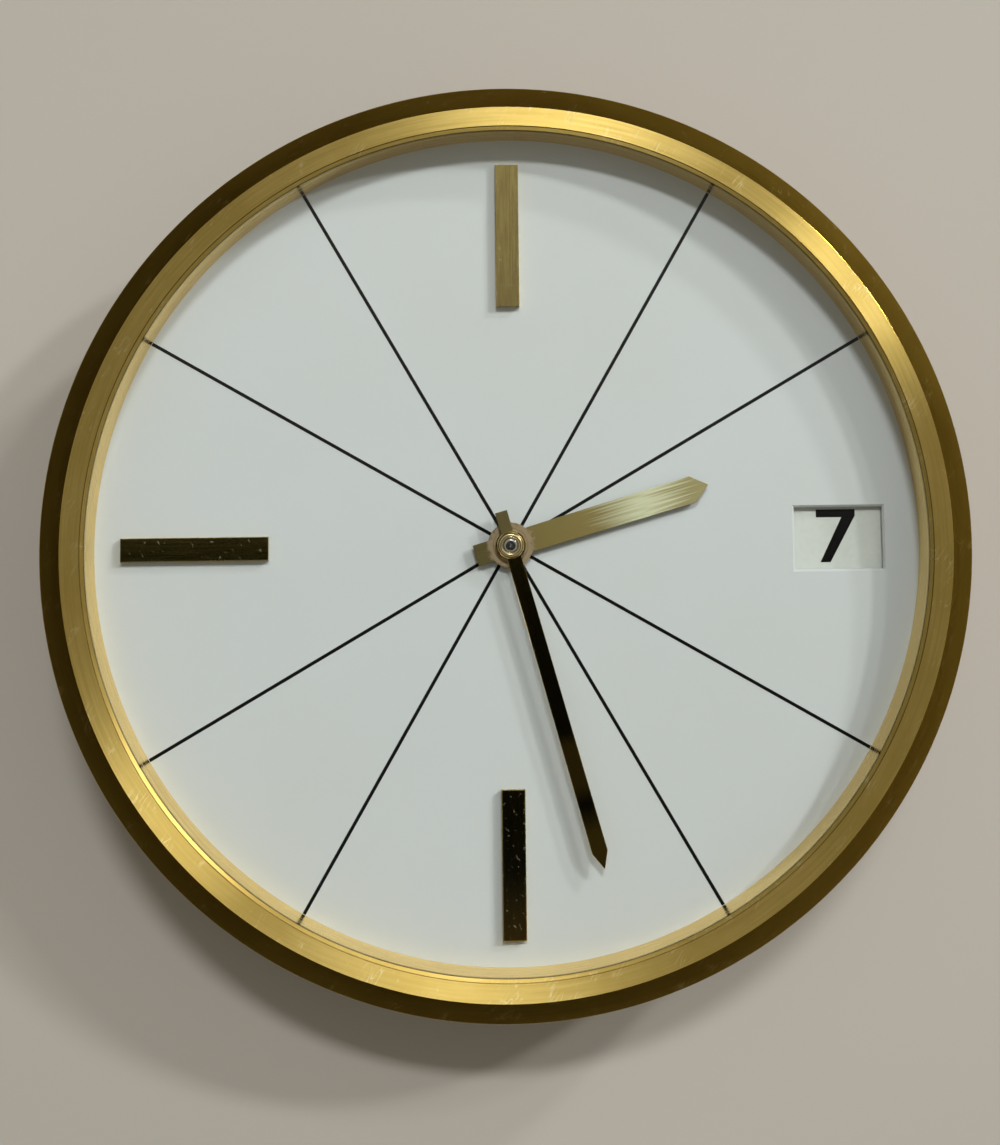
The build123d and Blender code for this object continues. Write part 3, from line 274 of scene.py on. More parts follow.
def brass(
    name, colour, tarnish, roughness, grain,
    scratches=0.0, depth=2e-5, anisotropic=0.0, swing=0.12, metal=1.0,
):
    """Brass whose grain runs as the given coordinates do, with tarnish in soft patches and fine scratches."""
    f = Finish(name, colour, roughness, metal, Anisotropic=anisotropic)
    lines = f.noise(grain(f), detail=4.0, rough=0.7)
    patches = f.noise(f.place, scale=70.0, detail=5.0, rough=0.6)
    tone = f.blended(f.spread(patches, 0.42, 0.72), colour, tarnish)
    level = f.spread(lines, 0.25, 0.75, roughness - swing / 2, roughness + swing / 2)
    height = lines
    if anisotropic:
        coarse = f.noise(f.around(5.0, 2600), detail=2.0)
        tone = f.blended(f.spread(coarse, 0.35, 0.7, 0.0, 0.8), tone, tarnish)
        f.brushed()
    if scratches:
        marks = f.hairlines(f.stretched((150, 940, 300), 58))
        more = f.hairlines(f.stretched((860, 130, 300), -33))
        fade = f.spread(f.noise(f.place, scale=340.0), 0.54, 0.68)
        worn = f.calc("MULTIPLY", f.calc("MULTIPLY", f.calc("MAXIMUM", marks, more), fade), scratches)
        height = f.calc("SUBTRACT", lines, worn)
        level = f.calc("ADD", level, f.calc("MULTIPLY", worn, 0.12))
        tone = f.blended(worn, tone, WORN_BRASS)
    f.set("Base Color", tone)
    f.set("Roughness", level)
    f.bumped(height, 0.35, depth)
    return f.material


front_brass = brass(
    "brushed_front_brass", (0.735, 0.56, 0.175), (0.59, 0.43, 0.11), 0.48, lambda f: f.around(2.2, 9000),
    scratches=0.8, depth=1.2e-5, anisotropic=0.98, swing=0.10, metal=0.93,
)
# The polished bevel is the same brass as the front, given a much darker colour as painted shade
bevel_brass = brass(
    "polished_bevel_brass", (0.42, 0.285, 0.035), (0.34, 0.22, 0.022), 0.12, lambda f: f.around(3.0, 5200),
    scratches=0.3, depth=6e-6, swing=0.06,
)
wall_brass = brass(
    "satin_wall_brass", (0.90, 0.68, 0.30), (0.82, 0.60, 0.24), 0.26, lambda f: f.around(2.6, 6000),
    depth=8e-6, swing=0.08,
)
# Dark brass for the lip's two edges: painted shade, standing in for the thin shadowed gap there
shaded_seam_brass = brass(
    "dark_seam_brass", (0.20, 0.13, 0.03), (0.13, 0.08, 0.02), 0.34, lambda f: f.around(3.0, 5200),
    depth=6e-6,
)
drum_brass = brass(
    "satin_drum_brass", (0.62, 0.46, 0.15), (0.56, 0.39, 0.10), 0.34, lambda f: f.around(2.0, 5200),
    scratches=0.4,
)
cover_brass = brass(
    "spun_cover_brass", (0.50, 0.37, 0.13), (0.40, 0.28, 0.085), 0.40, lambda f: f.around(1.5, 4200),
    scratches=0.35,
)
strut_brass = brass(
    "brushed_strut_brass", (0.68, 0.52, 0.20), (0.60, 0.44, 0.15), 0.30, lambda f: f.stretched((4200, 110, 900)),
    scratches=0.3,
)
fitting_brass = brass(
    "polished_fitting_brass", (0.76, 0.57, 0.20), (0.66, 0.47, 0.14), 0.17,
    lambda f: f.stretched((2400, 2400, 2400)), scratches=0.2, depth=6e-6, swing=0.06,
)
movement_brass = brass(
    "gilt_movement_brass", (0.66, 0.50, 0.20), (0.58, 0.42, 0.14), 0.32,
    lambda f: f.stretched((3000, 3000, 3000)), depth=1e-5,
)
bush_brass = brass(
    "satin_bush_brass", (0.86, 0.72, 0.40), (0.70, 0.54, 0.25), 0.19,
    lambda f: f.stretched((2600, 2600, 2600)), depth=4e-7, swing=0.04,
)
pipe_brass = brass(
    "worn_hour_pipe_brass", (0.46, 0.35, 0.21), (0.38, 0.28, 0.15), 0.42,
    lambda f: f.stretched((3000, 3000, 3000)),
)


def baton_finish():
    """Polished brass brushed outwards, with painted light on the 12, painted shade on the 6 and the 9, and a
    painted warm reflection on the outer end of the 6.
    """
    painted_lit_brass, dark, streak = (0.78, 0.62, 0.215), (0.34, 0.27, 0.065), (0.58, 0.41, 0.15)
    painted_warm_reflection, fleck = (0.50, 0.31, 0.045), (0.88, 0.80, 0.52)
    f = Finish("polished_baton_brass", painted_lit_brass, 0.10, 1.0)
    up = f.split(f.place)[1]
    lines = f.noise(f.around(150, 160), detail=4.0, rough=0.65)
    # The 12 (upper) gets lighter brass as painted light, the 6 and the 9 (lower) darker brass as painted shade
    upper = f.blended(f.spread(lines, 0.42, 0.6, 0.0, 0.85), painted_lit_brass, streak)
    lower = f.blended(f.spread(lines, 0.4, 0.7, 0.0, 0.3), dark, streak)
    # The warm amber tone on the 6's outer end is a painted reflection
    outer = f.spread(up, -45 * MM, -53 * MM)
    tone = f.blended(outer, f.blended(f.spread(up, 10 * MM, 30 * MM), lower, upper), painted_warm_reflection)
    flecks = f.spread(f.noise(f.stretched((2100, 1500, 900), 40), detail=2.0), 0.65, 0.71)
    flecks = f.calc("MULTIPLY", flecks, f.spread(f.noise(f.place, scale=700.0), 0.36, 0.52, 0.0, 0.8))
    metal = f.spread(outer, 0.0, 1.0, 1.0, 0.965)
    f.set("Base Color", f.blended(flecks, tone, fleck))
    f.set("Metallic", f.calc("SUBTRACT", metal, f.calc("MULTIPLY", flecks, 0.2)))
    f.set("Roughness", f.spread(lines, 0.25, 0.75, 0.07, 0.14))
    f.bumped(lines, 0.3, 3e-6)
    return f.material


def minute_hand_finish():
    """Polished brass with a painted warm reflection from past its middle to the tip, and a brushed tail."""
    polished, painted_warm_reflection, tail = (0.32, 0.24, 0.06), (0.50, 0.31, 0.045), (0.17, 0.135, 0.055)
    f = Finish("polished_minute_brass", polished, 0.09, 1.0)
    along = f.along(MINUTE_ANGLE)
    lines = f.noise(f.stretched((300, 5000, 900), MINUTE_ANGLE), detail=4.0, rough=0.7)
    # The warm tone from past the middle to the tip is a painted reflection
    ragged = f.calc("ADD", along, f.spread(lines, 0.3, 0.7, -0.6, 0.6))
    middle = f.calc("MINIMUM", f.spread(ragged, 27.0, 29.0, 0.0, 0.7), f.spread(ragged, 37.0, 34.5, 0.0, 0.7))
    warm = f.calc("MAXIMUM", middle, f.spread(ragged, 37.5, 42.0, 0.0, 1.15))
    dull = f.spread(along, -1.0, -2.0)
    gloss = f.spread(lines, 0.25, 0.75, 0.065, 0.115)
    f.set("Base Color", f.blended(dull, f.blended(warm, polished, painted_warm_reflection), tail))
    f.set("Metallic", f.spread(warm, 0.0, 1.0, 1.0, 0.955))
    f.set("Roughness", f.calc("ADD", gloss, f.calc("MULTIPLY", dull, 0.33)))
    f.bumped(lines, 0.35, 3e-6)
    return f.material


def hour_hand_finish():
    """Brass brushed along the hand, with a painted highlight past its middle and painted shade at the root, tail
    and tip, and a rosy worn patch round the boss.
    """
    # Rosy is worn plating; the root, tail and tip colours are painted shade, and the middle's light colour a
    # painted highlight
    tip, rosy, root = (0.29, 0.255, 0.125), (0.46, 0.35, 0.23), (0.28, 0.22, 0.08)
    tail, painted_highlight = (0.15, 0.125, 0.05), (0.64, 0.66, 0.45)
    f = Finish("brushed_hour_brass", root, 0.42, 1.0, Anisotropic=0.85)
    lines = f.noise(f.stretched((90, 7000, 900), HOUR_ANGLE), detail=4.0, rough=0.7)
    wander = f.spread(f.noise(f.place, scale=1500.0), 0.3, 0.7, -0.4 * MM, 0.4 * MM)
    edge = f.calc("ADD", f.measure("LENGTH", f.flat()), wander)
    worn = f.spread(edge, 2.9 * MM, 3.5 * MM, 0.85, 0.0)
    along = f.along(HOUR_ANGLE)
    streaks = f.noise(f.stretched((60, 3200, 900), HOUR_ANGLE), detail=3.0)
    ragged = f.calc("ADD", along, f.spread(streaks, 0.3, 0.7, -3.0, 3.0))
    # The band past the middle is a painted highlight; the darker root, tail and tip are painted shade
    middle = f.calc("MINIMUM", f.spread(ragged, 12.0, 18.5), f.spread(ragged, 26.0, 20.5))
    ends = f.blended(f.spread(along, 10.0, 24.0), f.blended(f.spread(along, -2.0, 2.0), tail, root), tip)
    blade = f.blended(f.spread(lines, 0.4, 0.75, 0.0, 0.4), f.blended(middle, ends, painted_highlight), root)
    f.set("Base Color", f.blended(worn, blade, rosy))
    f.set("Roughness", f.spread(lines, 0.25, 0.75, 0.36, 0.48))
    f.bumped(lines, 0.4, 1.5e-5)
    f.brushed()
    return f.material


def dial_finish():
    """Cool white lacquer with the faintest cloud and grain in it."""
    white, warm = (0.62, 0.66, 0.68), (0.605, 0.64, 0.645)
    f = Finish("white_dial_lacquer", white, 0.42, 0.0, Coat_Weight=0.12, Coat_Roughness=0.2)
    clouds = f.noise(f.place, scale=26.0, detail=3.0)
    grain = f.noise(f.place, scale=2600.0, detail=2.0)
    f.set("Base Color", f.blended(f.spread(clouds, 0.35, 0.7), white, warm))
    f.set("Roughness", f.spread(grain, 0.3, 0.7, 0.38, 0.46))
    f.bumped(grain, 0.06, 6e-6)
    return f.material


def date_finish():
    white, grey = (0.63, 0.67, 0.63), (0.60, 0.63, 0.60)
    f = Finish("white_date_print", white, 0.5)
    grain = f.noise(f.place, scale=1800.0, detail=2.0)
    f.set("Base Color", f.blended(f.spread(grain, 0.3, 0.7), white, grey))
    f.bumped(grain, 0.08, 8e-6)
    return f.material


def ink_finish():
    black, worn = (0.003, 0.003, 0.003), (0.010, 0.009, 0.008)
    f = Finish("black_printing_ink", black, 0.6, 0.0, Specular_IOR_Level=0.06)
    grain = f.noise(f.place, scale=5200.0, detail=2.0)
    f.set("Base Color", f.blended(f.spread(grain, 0.35, 0.75), black, worn))
    f.set("Roughness", f.spread(grain, 0.3, 0.7, 0.55, 0.7))
    return f.material


def steel_finish(name, colour, roughness):
    f = Finish(name, colour, roughness, 1.0)
    grain = f.noise(f.stretched((900, 5200, 2200)), detail=3.0)
    darker = tuple(c * 0.82 for c in colour)
    f.set("Base Color", f.blended(f.spread(grain, 0.3, 0.75), colour, darker))
    f.set("Roughness", f.spread(grain, 0.3, 0.7, roughness - 0.05, roughness + 0.07))
    return f.material


def ruby_finish():
    light, deep = (0.38, 0.014, 0.05), (0.24, 0.006, 0.03)
    f = Finish("synthetic_ruby", light, 0.08, 0.0, Coat_Weight=0.5)
    depth = f.noise(f.place, scale=1600.0)
    f.set("Base Color", f.blended(f.spread(depth, 0.3, 0.7), light, deep))
    return f.material


def gasket_finish():
    black, dusty = (0.016, 0.016, 0.016), (0.030, 0.029, 0.028)
    f = Finish("black_gasket_rubber", black, 0.6)
    f.set("Base Color", f.blended(f.noise(f.place, scale=3000.0), black, dusty))
    return f.material


def glass_finish():
    """Clear flat glass that lets the lamps' light through to the dial."""
    f = Finish("clear_flat_glass", (1.0, 1.0, 1.0), 0.0, 0.0, Transmission_Weight=1.0, IOR=1.46)
    ray = f.add("ShaderNodeLightPath").outputs
    bounced = f.calc("MAXIMUM", ray["Is Diffuse Ray"], ray["Is Glossy Ray"])
    passed = f.calc("MAXIMUM", ray["Is Shadow Ray"], bounced)
    f.mixed(passed, f.add("ShaderNodeBsdfTransparent", {"Color": (0.97, 0.985, 0.98, 1.0)}))
    return f.material


baton_brass = baton_finish()
minute_brass = minute_hand_finish()
hour_brass = hour_hand_finish()
dial_white = dial_finish()
date_white = date_finish()
ink = ink_finish()
steel = steel_finish("polished_steel", (0.58, 0.57, 0.55), 0.22)
arbor_steel = steel_finish("bright_arbor_steel", (0.64, 0.62, 0.58), 0.11)
spring_steel = steel_finish("blued_spring_steel", (0.16, 0.19, 0.28), 0.25)
ruby = ruby_finish()
rubber = gasket_finish()
glass = glass_finish()


# Making pieces

def piece_from_mesh(name, mesh, body, slot, *nodes):
    """A finished piece at the origin, which rides on a body and stands for the nodes named."""
    piece = bpy.data.objects.new(name, mesh)
    bpy.context.scene.collection.objects.link(piece)
    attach(piece, body)
    if nodes:
        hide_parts(*nodes)
    return piece


def plain_mesh(carrier, name):
    """A plain mesh of an object's final shape. The object itself goes."""
    bpy.context.scene.collection.objects.link(carrier)
    bpy.context.view_layer.update()
    seen = carrier.evaluated_get(bpy.context.evaluated_depsgraph_get())
    mesh = bpy.data.meshes.new_from_object(seen)
    mesh.name = name
    bpy.data.objects.remove(carrier)
    return mesh


def mesh_from_shape(name, shape, finish):
    mesh = bpy.data.meshes.new(name)
    shape.to_mesh(mesh)
    shape.free()
    mesh.materials.append(finish)
    return mesh


def paint(mesh, finish):
    """Gives all of a mesh one finish."""
    mesh.materials.clear()
    mesh.materials.append(finish)
    mesh.polygons.foreach_set("material_index", [0] * len(mesh.polygons))


def tidy_normals(mesh):
    shape = bmesh.new()
    shape.from_mesh(mesh)
    bmesh.ops.remove_doubles(shape, verts=shape.verts, dist=SAME_PLACE)
    bmesh.ops.recalc_face_normals(shape, faces=shape.faces)
    shape.to_mesh(mesh)
    shape.free()


def on_circle(radius, count):
    """Points in even steps round a circle."""
    turns = [2 * math.pi * k / count for k in range(count)]
    return [(radius * math.cos(turn), radius * math.sin(turn)) for turn in turns]


class Tree(Nodes):
    """A Geometry Nodes tree with named inputs."""

    def __init__(self, name, inputs):
        super().__init__(bpy.data.node_groups.new(name, "GeometryNodeTree"))
        face = self.tree.interface
        face.new_socket("Geometry", in_out="INPUT", socket_type="NodeSocketGeometry")
        self.ids = {}
        for key, (kind, value) in inputs.items():
            socket = face.new_socket(key, in_out="INPUT", socket_type="NodeSocket" + kind)
            if value is not None:
                socket.default_value = value
            self.ids[key] = socket.identifier
        face.new_socket("Geometry", in_out="OUTPUT", socket_type="NodeSocketGeometry")
        self.given = self.add("NodeGroupInput").outputs
        self.out = self.add("NodeGroupOutput")

    def moved(self, geometry, **change):
        return self.add("GeometryNodeTransform", {"Geometry": geometry, **change}).outputs[0]

    def end(self, geometry):
        whole = self.add("GeometryNodeRealizeInstances", {"Geometry": geometry}).outputs[0]
        painted = self.add("GeometryNodeSetMaterial", {"Geometry": whole, "Material": self.given["Finish"]})
        self.feed(self.out.inputs[0], painted.outputs[0])

    def made(self, name, base, **values):
        """A plain mesh of the tree's result on a base mesh, with the named inputs set."""
        carrier = bpy.data.objects.new(name + "_carrier", base)
        modifier = carrier.modifiers.new("tree", "NODES")
        modifier.node_group = self.tree
        for key, value in values.items():
            modifier[self.ids[key.replace("_", " ")]] = value
        mesh = plain_mesh(carrier, name)
        paint(mesh, values["Finish"])
        return mesh


def turning_tree():
    """Turns a profile of (radius, height) points about Z, as on a lathe."""
    t = Tree("turned_on_the_lathe", {"Segments": ("Int", 240), "Finish": ("Material", None)})
    profile = t.given["Geometry"]
    count = t.add("GeometryNodeAttributeDomainSize", {0: profile}).outputs["Point Count"]
    columns = t.calc("ADD", t.given["Segments"], 1)
    grid = t.add("GeometryNodeMeshGrid", {
        "Size X": 1.0, "Size Y": 1.0, "Vertices X": columns, "Vertices Y": count,
    }).outputs["Mesh"]
    x, y, _ = t.split(t.add("GeometryNodeInputPosition").outputs[0])
    across, along = t.calc("ADD", x, 0.5), t.calc("ADD", y, 0.5)
    kept = t.add(
        "GeometryNodeStoreNamedAttribute",
        {"Geometry": grid, "Name": "UVMap", "Value": t.joined(X=along, Y=across)},
        data_type="FLOAT2", domain="CORNER",
    ).outputs[0]
    row = t.calc("ROUND", t.calc("MULTIPLY", along, t.calc("SUBTRACT", count, 1)))
    at = t.add("GeometryNodeInputPosition").outputs[0]
    point = t.add(
        "GeometryNodeSampleIndex", {"Geometry": profile, "Value": at, "Index": row},
        data_type="FLOAT_VECTOR", domain="POINT",
    ).outputs["Value"]
    radius, _, height = t.split(point)
    turn = t.calc("MULTIPLY", across, 2 * math.pi)
    place = t.joined(
        X=t.calc("MULTIPLY", radius, t.calc("COSINE", turn)),
        Y=t.calc("MULTIPLY", radius, t.calc("SINE", turn)),
        Z=height,
    )
    turned = t.add("GeometryNodeSetPosition", {"Geometry": kept, "Position": place}).outputs[0]
    closed = t.add("GeometryNodeMergeByDistance", {"Geometry": turned, "Distance": SAME_PLACE}).outputs[0]
    t.end(t.add("GeometryNodeSetShadeSmooth", {"Geometry": closed}).outputs[0])
    return t


def lines_tree():
    """Thin printed bars that run outwards at every hour but each third one."""
    t = Tree("printed_hour_lines", {
        "Inner Radius": ("Float", 0.003), "Outer Radius": ("Float", 0.058), "Width": ("Float", 0.0004),
        "Thickness": ("Float", 2e-5), "Height": ("Float", 0.0187), "Finish": ("Material", None),
    })
    inner, outer, thickness = t.given["Inner Radius"], t.given["Outer Radius"], t.given["Thickness"]
    size = t.joined(X=t.calc("SUBTRACT", outer, inner), Y=t.given["Width"], Z=thickness)
    bar = t.add("GeometryNodeMeshCube", {"Size": size}).outputs["Mesh"]
    middle = t.calc("MULTIPLY", t.calc("ADD", outer, inner), 0.5)
    lift = t.calc("ADD", t.given["Height"], t.calc("MULTIPLY", thickness, 0.5))
    bar = t.moved(bar, Translation=t.joined(X=middle, Z=lift))
    points = t.add("GeometryNodePoints", {"Count": 12}).outputs[0]
    index = t.add("GeometryNodeInputIndex").outputs[0]
    between = t.calc("GREATER_THAN", t.calc("MODULO", index, 3.0), 0.5)
    turn = t.joined(Z=t.calc("MULTIPLY", index, math.radians(30)))
    t.end(t.add("GeometryNodeInstanceOnPoints", {
        "Points": points, "Selection": between, "Instance": bar, "Rotation": turn,
    }).outputs[0])
    return t


def screws_tree():
    """Slotted screw heads that face down, one at each point of the base."""
    t = Tree("slotted_screw_heads", {
        "Head Radius": ("Float", 0.0015), "Head Height": ("Float", 0.0007), "Slot Width": ("Float", 0.0004),
        "Slot Depth": ("Float", 0.0003), "Shank Radius": ("Float", 0.0007), "Shank Length": ("Float", 0.003),
        "Seed": ("Int", 3), "Finish": ("Material", None),
    })
    radius, height = t.given["Head Radius"], t.given["Head Height"]
    depth, length = t.given["Slot Depth"], t.given["Shank Length"]
    head = t.add("GeometryNodeMeshCone", {
        "Vertices": 64, "Radius Top": t.calc("MULTIPLY", radius, 0.93), "Radius Bottom": radius, "Depth": height,
    }).outputs["Mesh"]
    slot_size = t.joined(X=t.calc("MULTIPLY", radius, 2.4), Y=t.given["Slot Width"], Z=depth)
    slot = t.add("GeometryNodeMeshCube", {"Size": slot_size}).outputs["Mesh"]
    raised = t.calc("SUBTRACT", height, t.calc("MULTIPLY", depth, 0.45))
    slot = t.moved(slot, Translation=t.joined(Z=raised))
    cut = t.add("GeometryNodeMeshBoolean", {"Mesh 1": head, "Mesh 2": slot}, operation="DIFFERENCE")
    shank = t.add("GeometryNodeMeshCylinder", {
        "Vertices": 32, "Radius": t.given["Shank Radius"], "Depth": length,
    }).outputs["Mesh"]
    shank = t.moved(shank, Translation=t.joined(Z=t.calc("MULTIPLY", length, -0.5)))
    whole = t.add("GeometryNodeJoinGeometry")
    for part in (cut.outputs["Mesh"], shank):
        t.feed(whole.inputs[0], part)
    down = t.moved(whole.outputs[0], Rotation=(math.pi, 0.0, 0.0))
    turn = t.add("FunctionNodeRandomValue", {"Seed": t.given["Seed"], 3: math.pi}, data_type="FLOAT")
    t.end(t.add("GeometryNodeInstanceOnPoints", {
        "Points": t.given["Geometry"], "Instance": down, "Rotation": t.joined(Z=turn.outputs[1]),
    }).outputs[0])
    return t


turning = turning_tree()
hour_lines = lines_tree()
slotted = screws_tree()


def eased(points, radius, steps=3):
    """A closed profile with its corners rounded, and a point close to each rounding to hold the flats flat."""
    done = []
    count = len(points)
    for i, point in enumerate(points):
        here = Vector(point)
        before, after = Vector(points[i - 1]) - here, Vector(points[(i + 1) % count]) - here
        cut = min(radius, before.length / 3, after.length / 3)
        start, end = here + before.normalized() * cut, here + after.normalized() * cut
        done.append(here + before.normalized() * cut * 1.4)
        for k in range(steps + 1):
            s = k / steps
            done.append(start * (1 - s) ** 2 + here * 2 * s * (1 - s) + end * s**2)
        done.append(here + after.normalized() * cut * 1.4)
    return done + done[:1]


def turned_piece(name, points, finish, body, slot, *nodes, ease, segments):
    """A lathe-turned piece from a profile in millimetres."""
    profile = bpy.data.meshes.new(name + "_profile")
    profile.from_pydata([(p.x * MM, 0, p.y * MM) for p in eased(points, ease)], [], [])
    mesh = turning.made(name, profile, Segments=segments, Finish=finish)
    tidy_normals(mesh)
    return piece_from_mesh(name, mesh, body, slot, *nodes)


# Bezel: brushed front ring and lip, polished bevel and band, and painted shade in a thin dark line along the
# lip's two edges
bezel = turned_piece("bezel_turned", [
    (SIGHT_R, Z_LIP), (SIGHT_R, Z_FRONT - LIP_CHAMFER), (SIGHT_R + LIP_CHAMFER, Z_FRONT),
    (FLAT_R, Z_FRONT), (CASE_R, Z_EDGE), (CASE_R, Z_BAND_LOW),
    (SKIRT_R, Z_SKIRT), (BORE_R, Z_SKIRT), (BORE_R, Z_LIP),
], front_brass, "case", "bezel_brass", "bezel", ease=0.08, segments=480)
bezel.data.materials.append(bevel_brass)
bezel.data.materials.append(shaded_seam_brass)
FRONT_INDEX, BEVEL_INDEX, PAINTED_SHADE_INDEX = range(3)
lip_corners = [((SIGHT_R + LIP_CHAMFER) * MM, Z_FRONT * MM), (SIGHT_R * MM, (Z_FRONT - LIP_CHAMFER) * MM)]
for face in bezel.data.polygons:
    radius = math.hypot(face.center.x, face.center.y)
    polished = face.center.z < (Z_FRONT - LIP_CHAMFER) * MM or radius > (FLAT_R - FLAT_EDGE) * MM
    # Faces close to the lip's two edges take the dark brass as painted shade
    seam = min(math.dist((radius, face.center.z), corner) for corner in lip_corners) < SEAM * MM
    face.material_index = PAINTED_SHADE_INDEX if seam else BEVEL_INDEX if polished else FRONT_INDEX

turned_piece("wall_ring_turned", [
    (RING_IN_R, Z_DIAL), (RING_IN_R + RING_FLARE, Z_GLASS), (SEAT_R, Z_GLASS), (SEAT_R, Z_DIAL),
], wall_brass, "case", "ring_brass", "dial_ring", ease=0.05, segments=480)

turned_piece("glass_pane", [
    (0.0, Z_GLASS + GLASS_GAP), (GLASS_R - GLASS_PLAY, Z_GLASS + GLASS_GAP),
    (GLASS_R - GLASS_PLAY, Z_LIP - GLASS_GAP), (0.0, Z_LIP - GLASS_GAP),
], glass, "case", "clear_glass", "glass", ease=0.15, segments=240)

turned_piece("drum_turned", [
    (RIM_IN_R, 0), (DRUM_RIM_R - RIM_CHAMFER, 0), (DRUM_RIM_R, RIM_CHAMFER),
    (DRUM_TOP_R, Z_SKIRT), (SEAT_R, Z_SKIRT), (SEAT_R, Z_DIAL_BACK),
    (HOLDER_BORE_R, Z_DIAL_BACK), (HOLDER_BORE_R, Z_MAIN), (DRUM_IN_R, Z_MAIN),
    (DRUM_IN_R, Z_LEDGE), (COVER_LEDGE_R, Z_LEDGE),
    (COVER_LEDGE_R, Z_COVER_IN), (RIM_IN_R, Z_COVER_IN),
], drum_brass, "case", "case_brass", "case_drum", ease=0.12, segments=360)


# Dial: a disc with a hub hole and a window whose edge slopes in, and its printed lines
def window_points(margin):
    x, y = WINDOW_L / 2 + margin, WINDOW_W / 2 + margin
    return [(WINDOW_R + sx * x, WINDOW_LIFT + sy * y) for sx, sy in ((-1, -1), (1, -1), (1, 1), (-1, 1))]


def dial_mesh():
    shape = bmesh.new()

    def loop(points, z):
        verts = [shape.verts.new((x * MM, y * MM, z * MM)) for x, y in points]
        edges = [shape.edges.new((verts[i - 1], verts[i])) for i in range(len(verts))]
        return verts, edges

    def wall_between(low, high):
        for i in range(len(low)):
            shape.faces.new((low[i - 1], low[i], high[i], high[i - 1]))

    rims = []
    for z, margin in ((Z_DIAL_BACK, 0.0), (Z_DIAL, WINDOW_SLOPE)):
        outer = loop(on_circle(SEAT_R, count=360), z)
        hub = loop(on_circle(DIAL_HOLE_R, count=72), z)
        window = loop(window_points(margin), z)
        bmesh.ops.triangle_fill(shape, edges=outer[1] + hub[1] + window[1], use_beauty=True)
        rims.append((outer[0], hub[0], window[0]))
    (low_outer, low_hub, low_window), (high_outer, high_hub, high_window) = rims
    wall_between(low_outer, high_outer)
    wall_between(high_hub, low_hub)
    throat, _ = loop(window_points(0.0), Z_DIAL - WINDOW_SLOPE)
    wall_between(throat, low_window)
    wall_between(high_window, throat)
    bmesh.ops.recalc_face_normals(shape, faces=shape.faces)
    return mesh_from_shape("dial_plate", shape, dial_white)


piece_from_mesh("dial_plate", dial_mesh(), "case", "dial_white", "dial")

one_point = bpy.data.meshes.new("one_point")
one_point.from_pydata([(0, 0, 0)], [], [])
lines_mesh = hour_lines.made(
    "hour_lines", one_point, Inner_Radius=LINE_IN_R * MM, Outer_Radius=(RING_IN_R - LINE_GAP) * MM,
    Width=LINE_W * MM, Thickness=PRINT_T * MM, Height=Z_DIAL * MM, Finish=ink,
)
piece_from_mesh("hour_lines", lines_mesh, "case", "dial_white")


# Batons and hands: flat outlines with a small bevel all round
def flat_mesh(name, loops, low, high, bevel, turn):
    """A flat shape from an outline and its holes in millimetres along +X, bevelled and turned to its angle."""
    curve = bpy.data.curves.new(name + "_outline", "CURVE")
    curve.dimensions = "2D"
    curve.fill_mode = "BOTH"
    curve.extrude = (high - low) / 2 * MM - bevel * MM
    curve.bevel_depth = bevel * MM
    curve.bevel_resolution = 2
    curve.offset = -bevel * MM
    for points in loops:
        spline = curve.splines.new("POLY")
        spline.points.add(len(points) - 1)
        for point, (x, y) in zip(spline.points, points):
            point.co = (x * MM, y * MM, 0, 1)
        spline.use_cyclic_u = True
    mesh = plain_mesh(bpy.data.objects.new(name + "_carrier", curve), name)
    tidy_normals(mesh)
    uv = mesh.uv_layers.new(name="UVMap") if not mesh.uv_layers else mesh.uv_layers[0]
    uv.name = "UVMap"
    for corner in mesh.loops:
        place = mesh.vertices[corner.vertex_index].co
        uv.data[corner.index].uv = (place.y * UV_SCALE, place.x * UV_SCALE)
    cos, sin = math.cos(math.radians(turn)), math.sin(math.radians(turn))
    for vertex in mesh.vertices:
        x, y, z = vertex.co
        vertex.co = (x * cos - y * sin, x * sin + y * cos, z + (low + high) / 2 * MM)
    return mesh


def flat_piece(name, mesh, finish, body, slot, node):
    paint(mesh, finish)
    mesh.polygons.foreach_set("use_smooth", [False] * len(mesh.polygons))
    piece_from_mesh(name, mesh, body, slot, node)


baton_outline = [
    (BATON_IN_R, -BATON_W / 2), (BATON_IN_R + BATON_L, -BATON_W / 2),
    (BATON_IN_R + BATON_L, BATON_W / 2), (BATON_IN_R, BATON_W / 2),
]
for word, angle in (("twelve", 90), ("six", -90), ("nine", 180)):
    bar = flat_mesh("baton_bar_" + word, [baton_outline], Z_DIAL, Z_DIAL + BATON_H, BATON_BEVEL, angle)
    flat_piece("baton_bar_" + word, bar, baton_brass, "case", "baton_brass", "baton_" + word)


def hand_outline(length, width, root_w, tip_l, tail_l, tail_w, boss_r, steps=28):
    """The outline of a hand along +X: blade with a short point, round boss and square tail."""
    shoulder = length - tip_l
    rise = (width - root_w) / 2 / shoulder
    half = root_w / 2
    lean = 1 + rise**2
    along = (-half * rise + math.sqrt((half * rise) ** 2 - lean * (half**2 - boss_r**2))) / lean
    blade_turn = math.atan2(half + rise * along, along)
    tail_turn = math.pi - math.asin(tail_w / 2 / boss_r)
    arc = [blade_turn + (tail_turn - blade_turn) * k / steps for k in range(steps + 1)]
    upper = [(length, 0), (shoulder, width / 2)]
    upper += [(boss_r * math.cos(a), boss_r * math.sin(a)) for a in arc]
    upper += [(-tail_l, tail_w / 2)]
    return upper + [(x, -y) for x, y in reversed(upper[1:])]


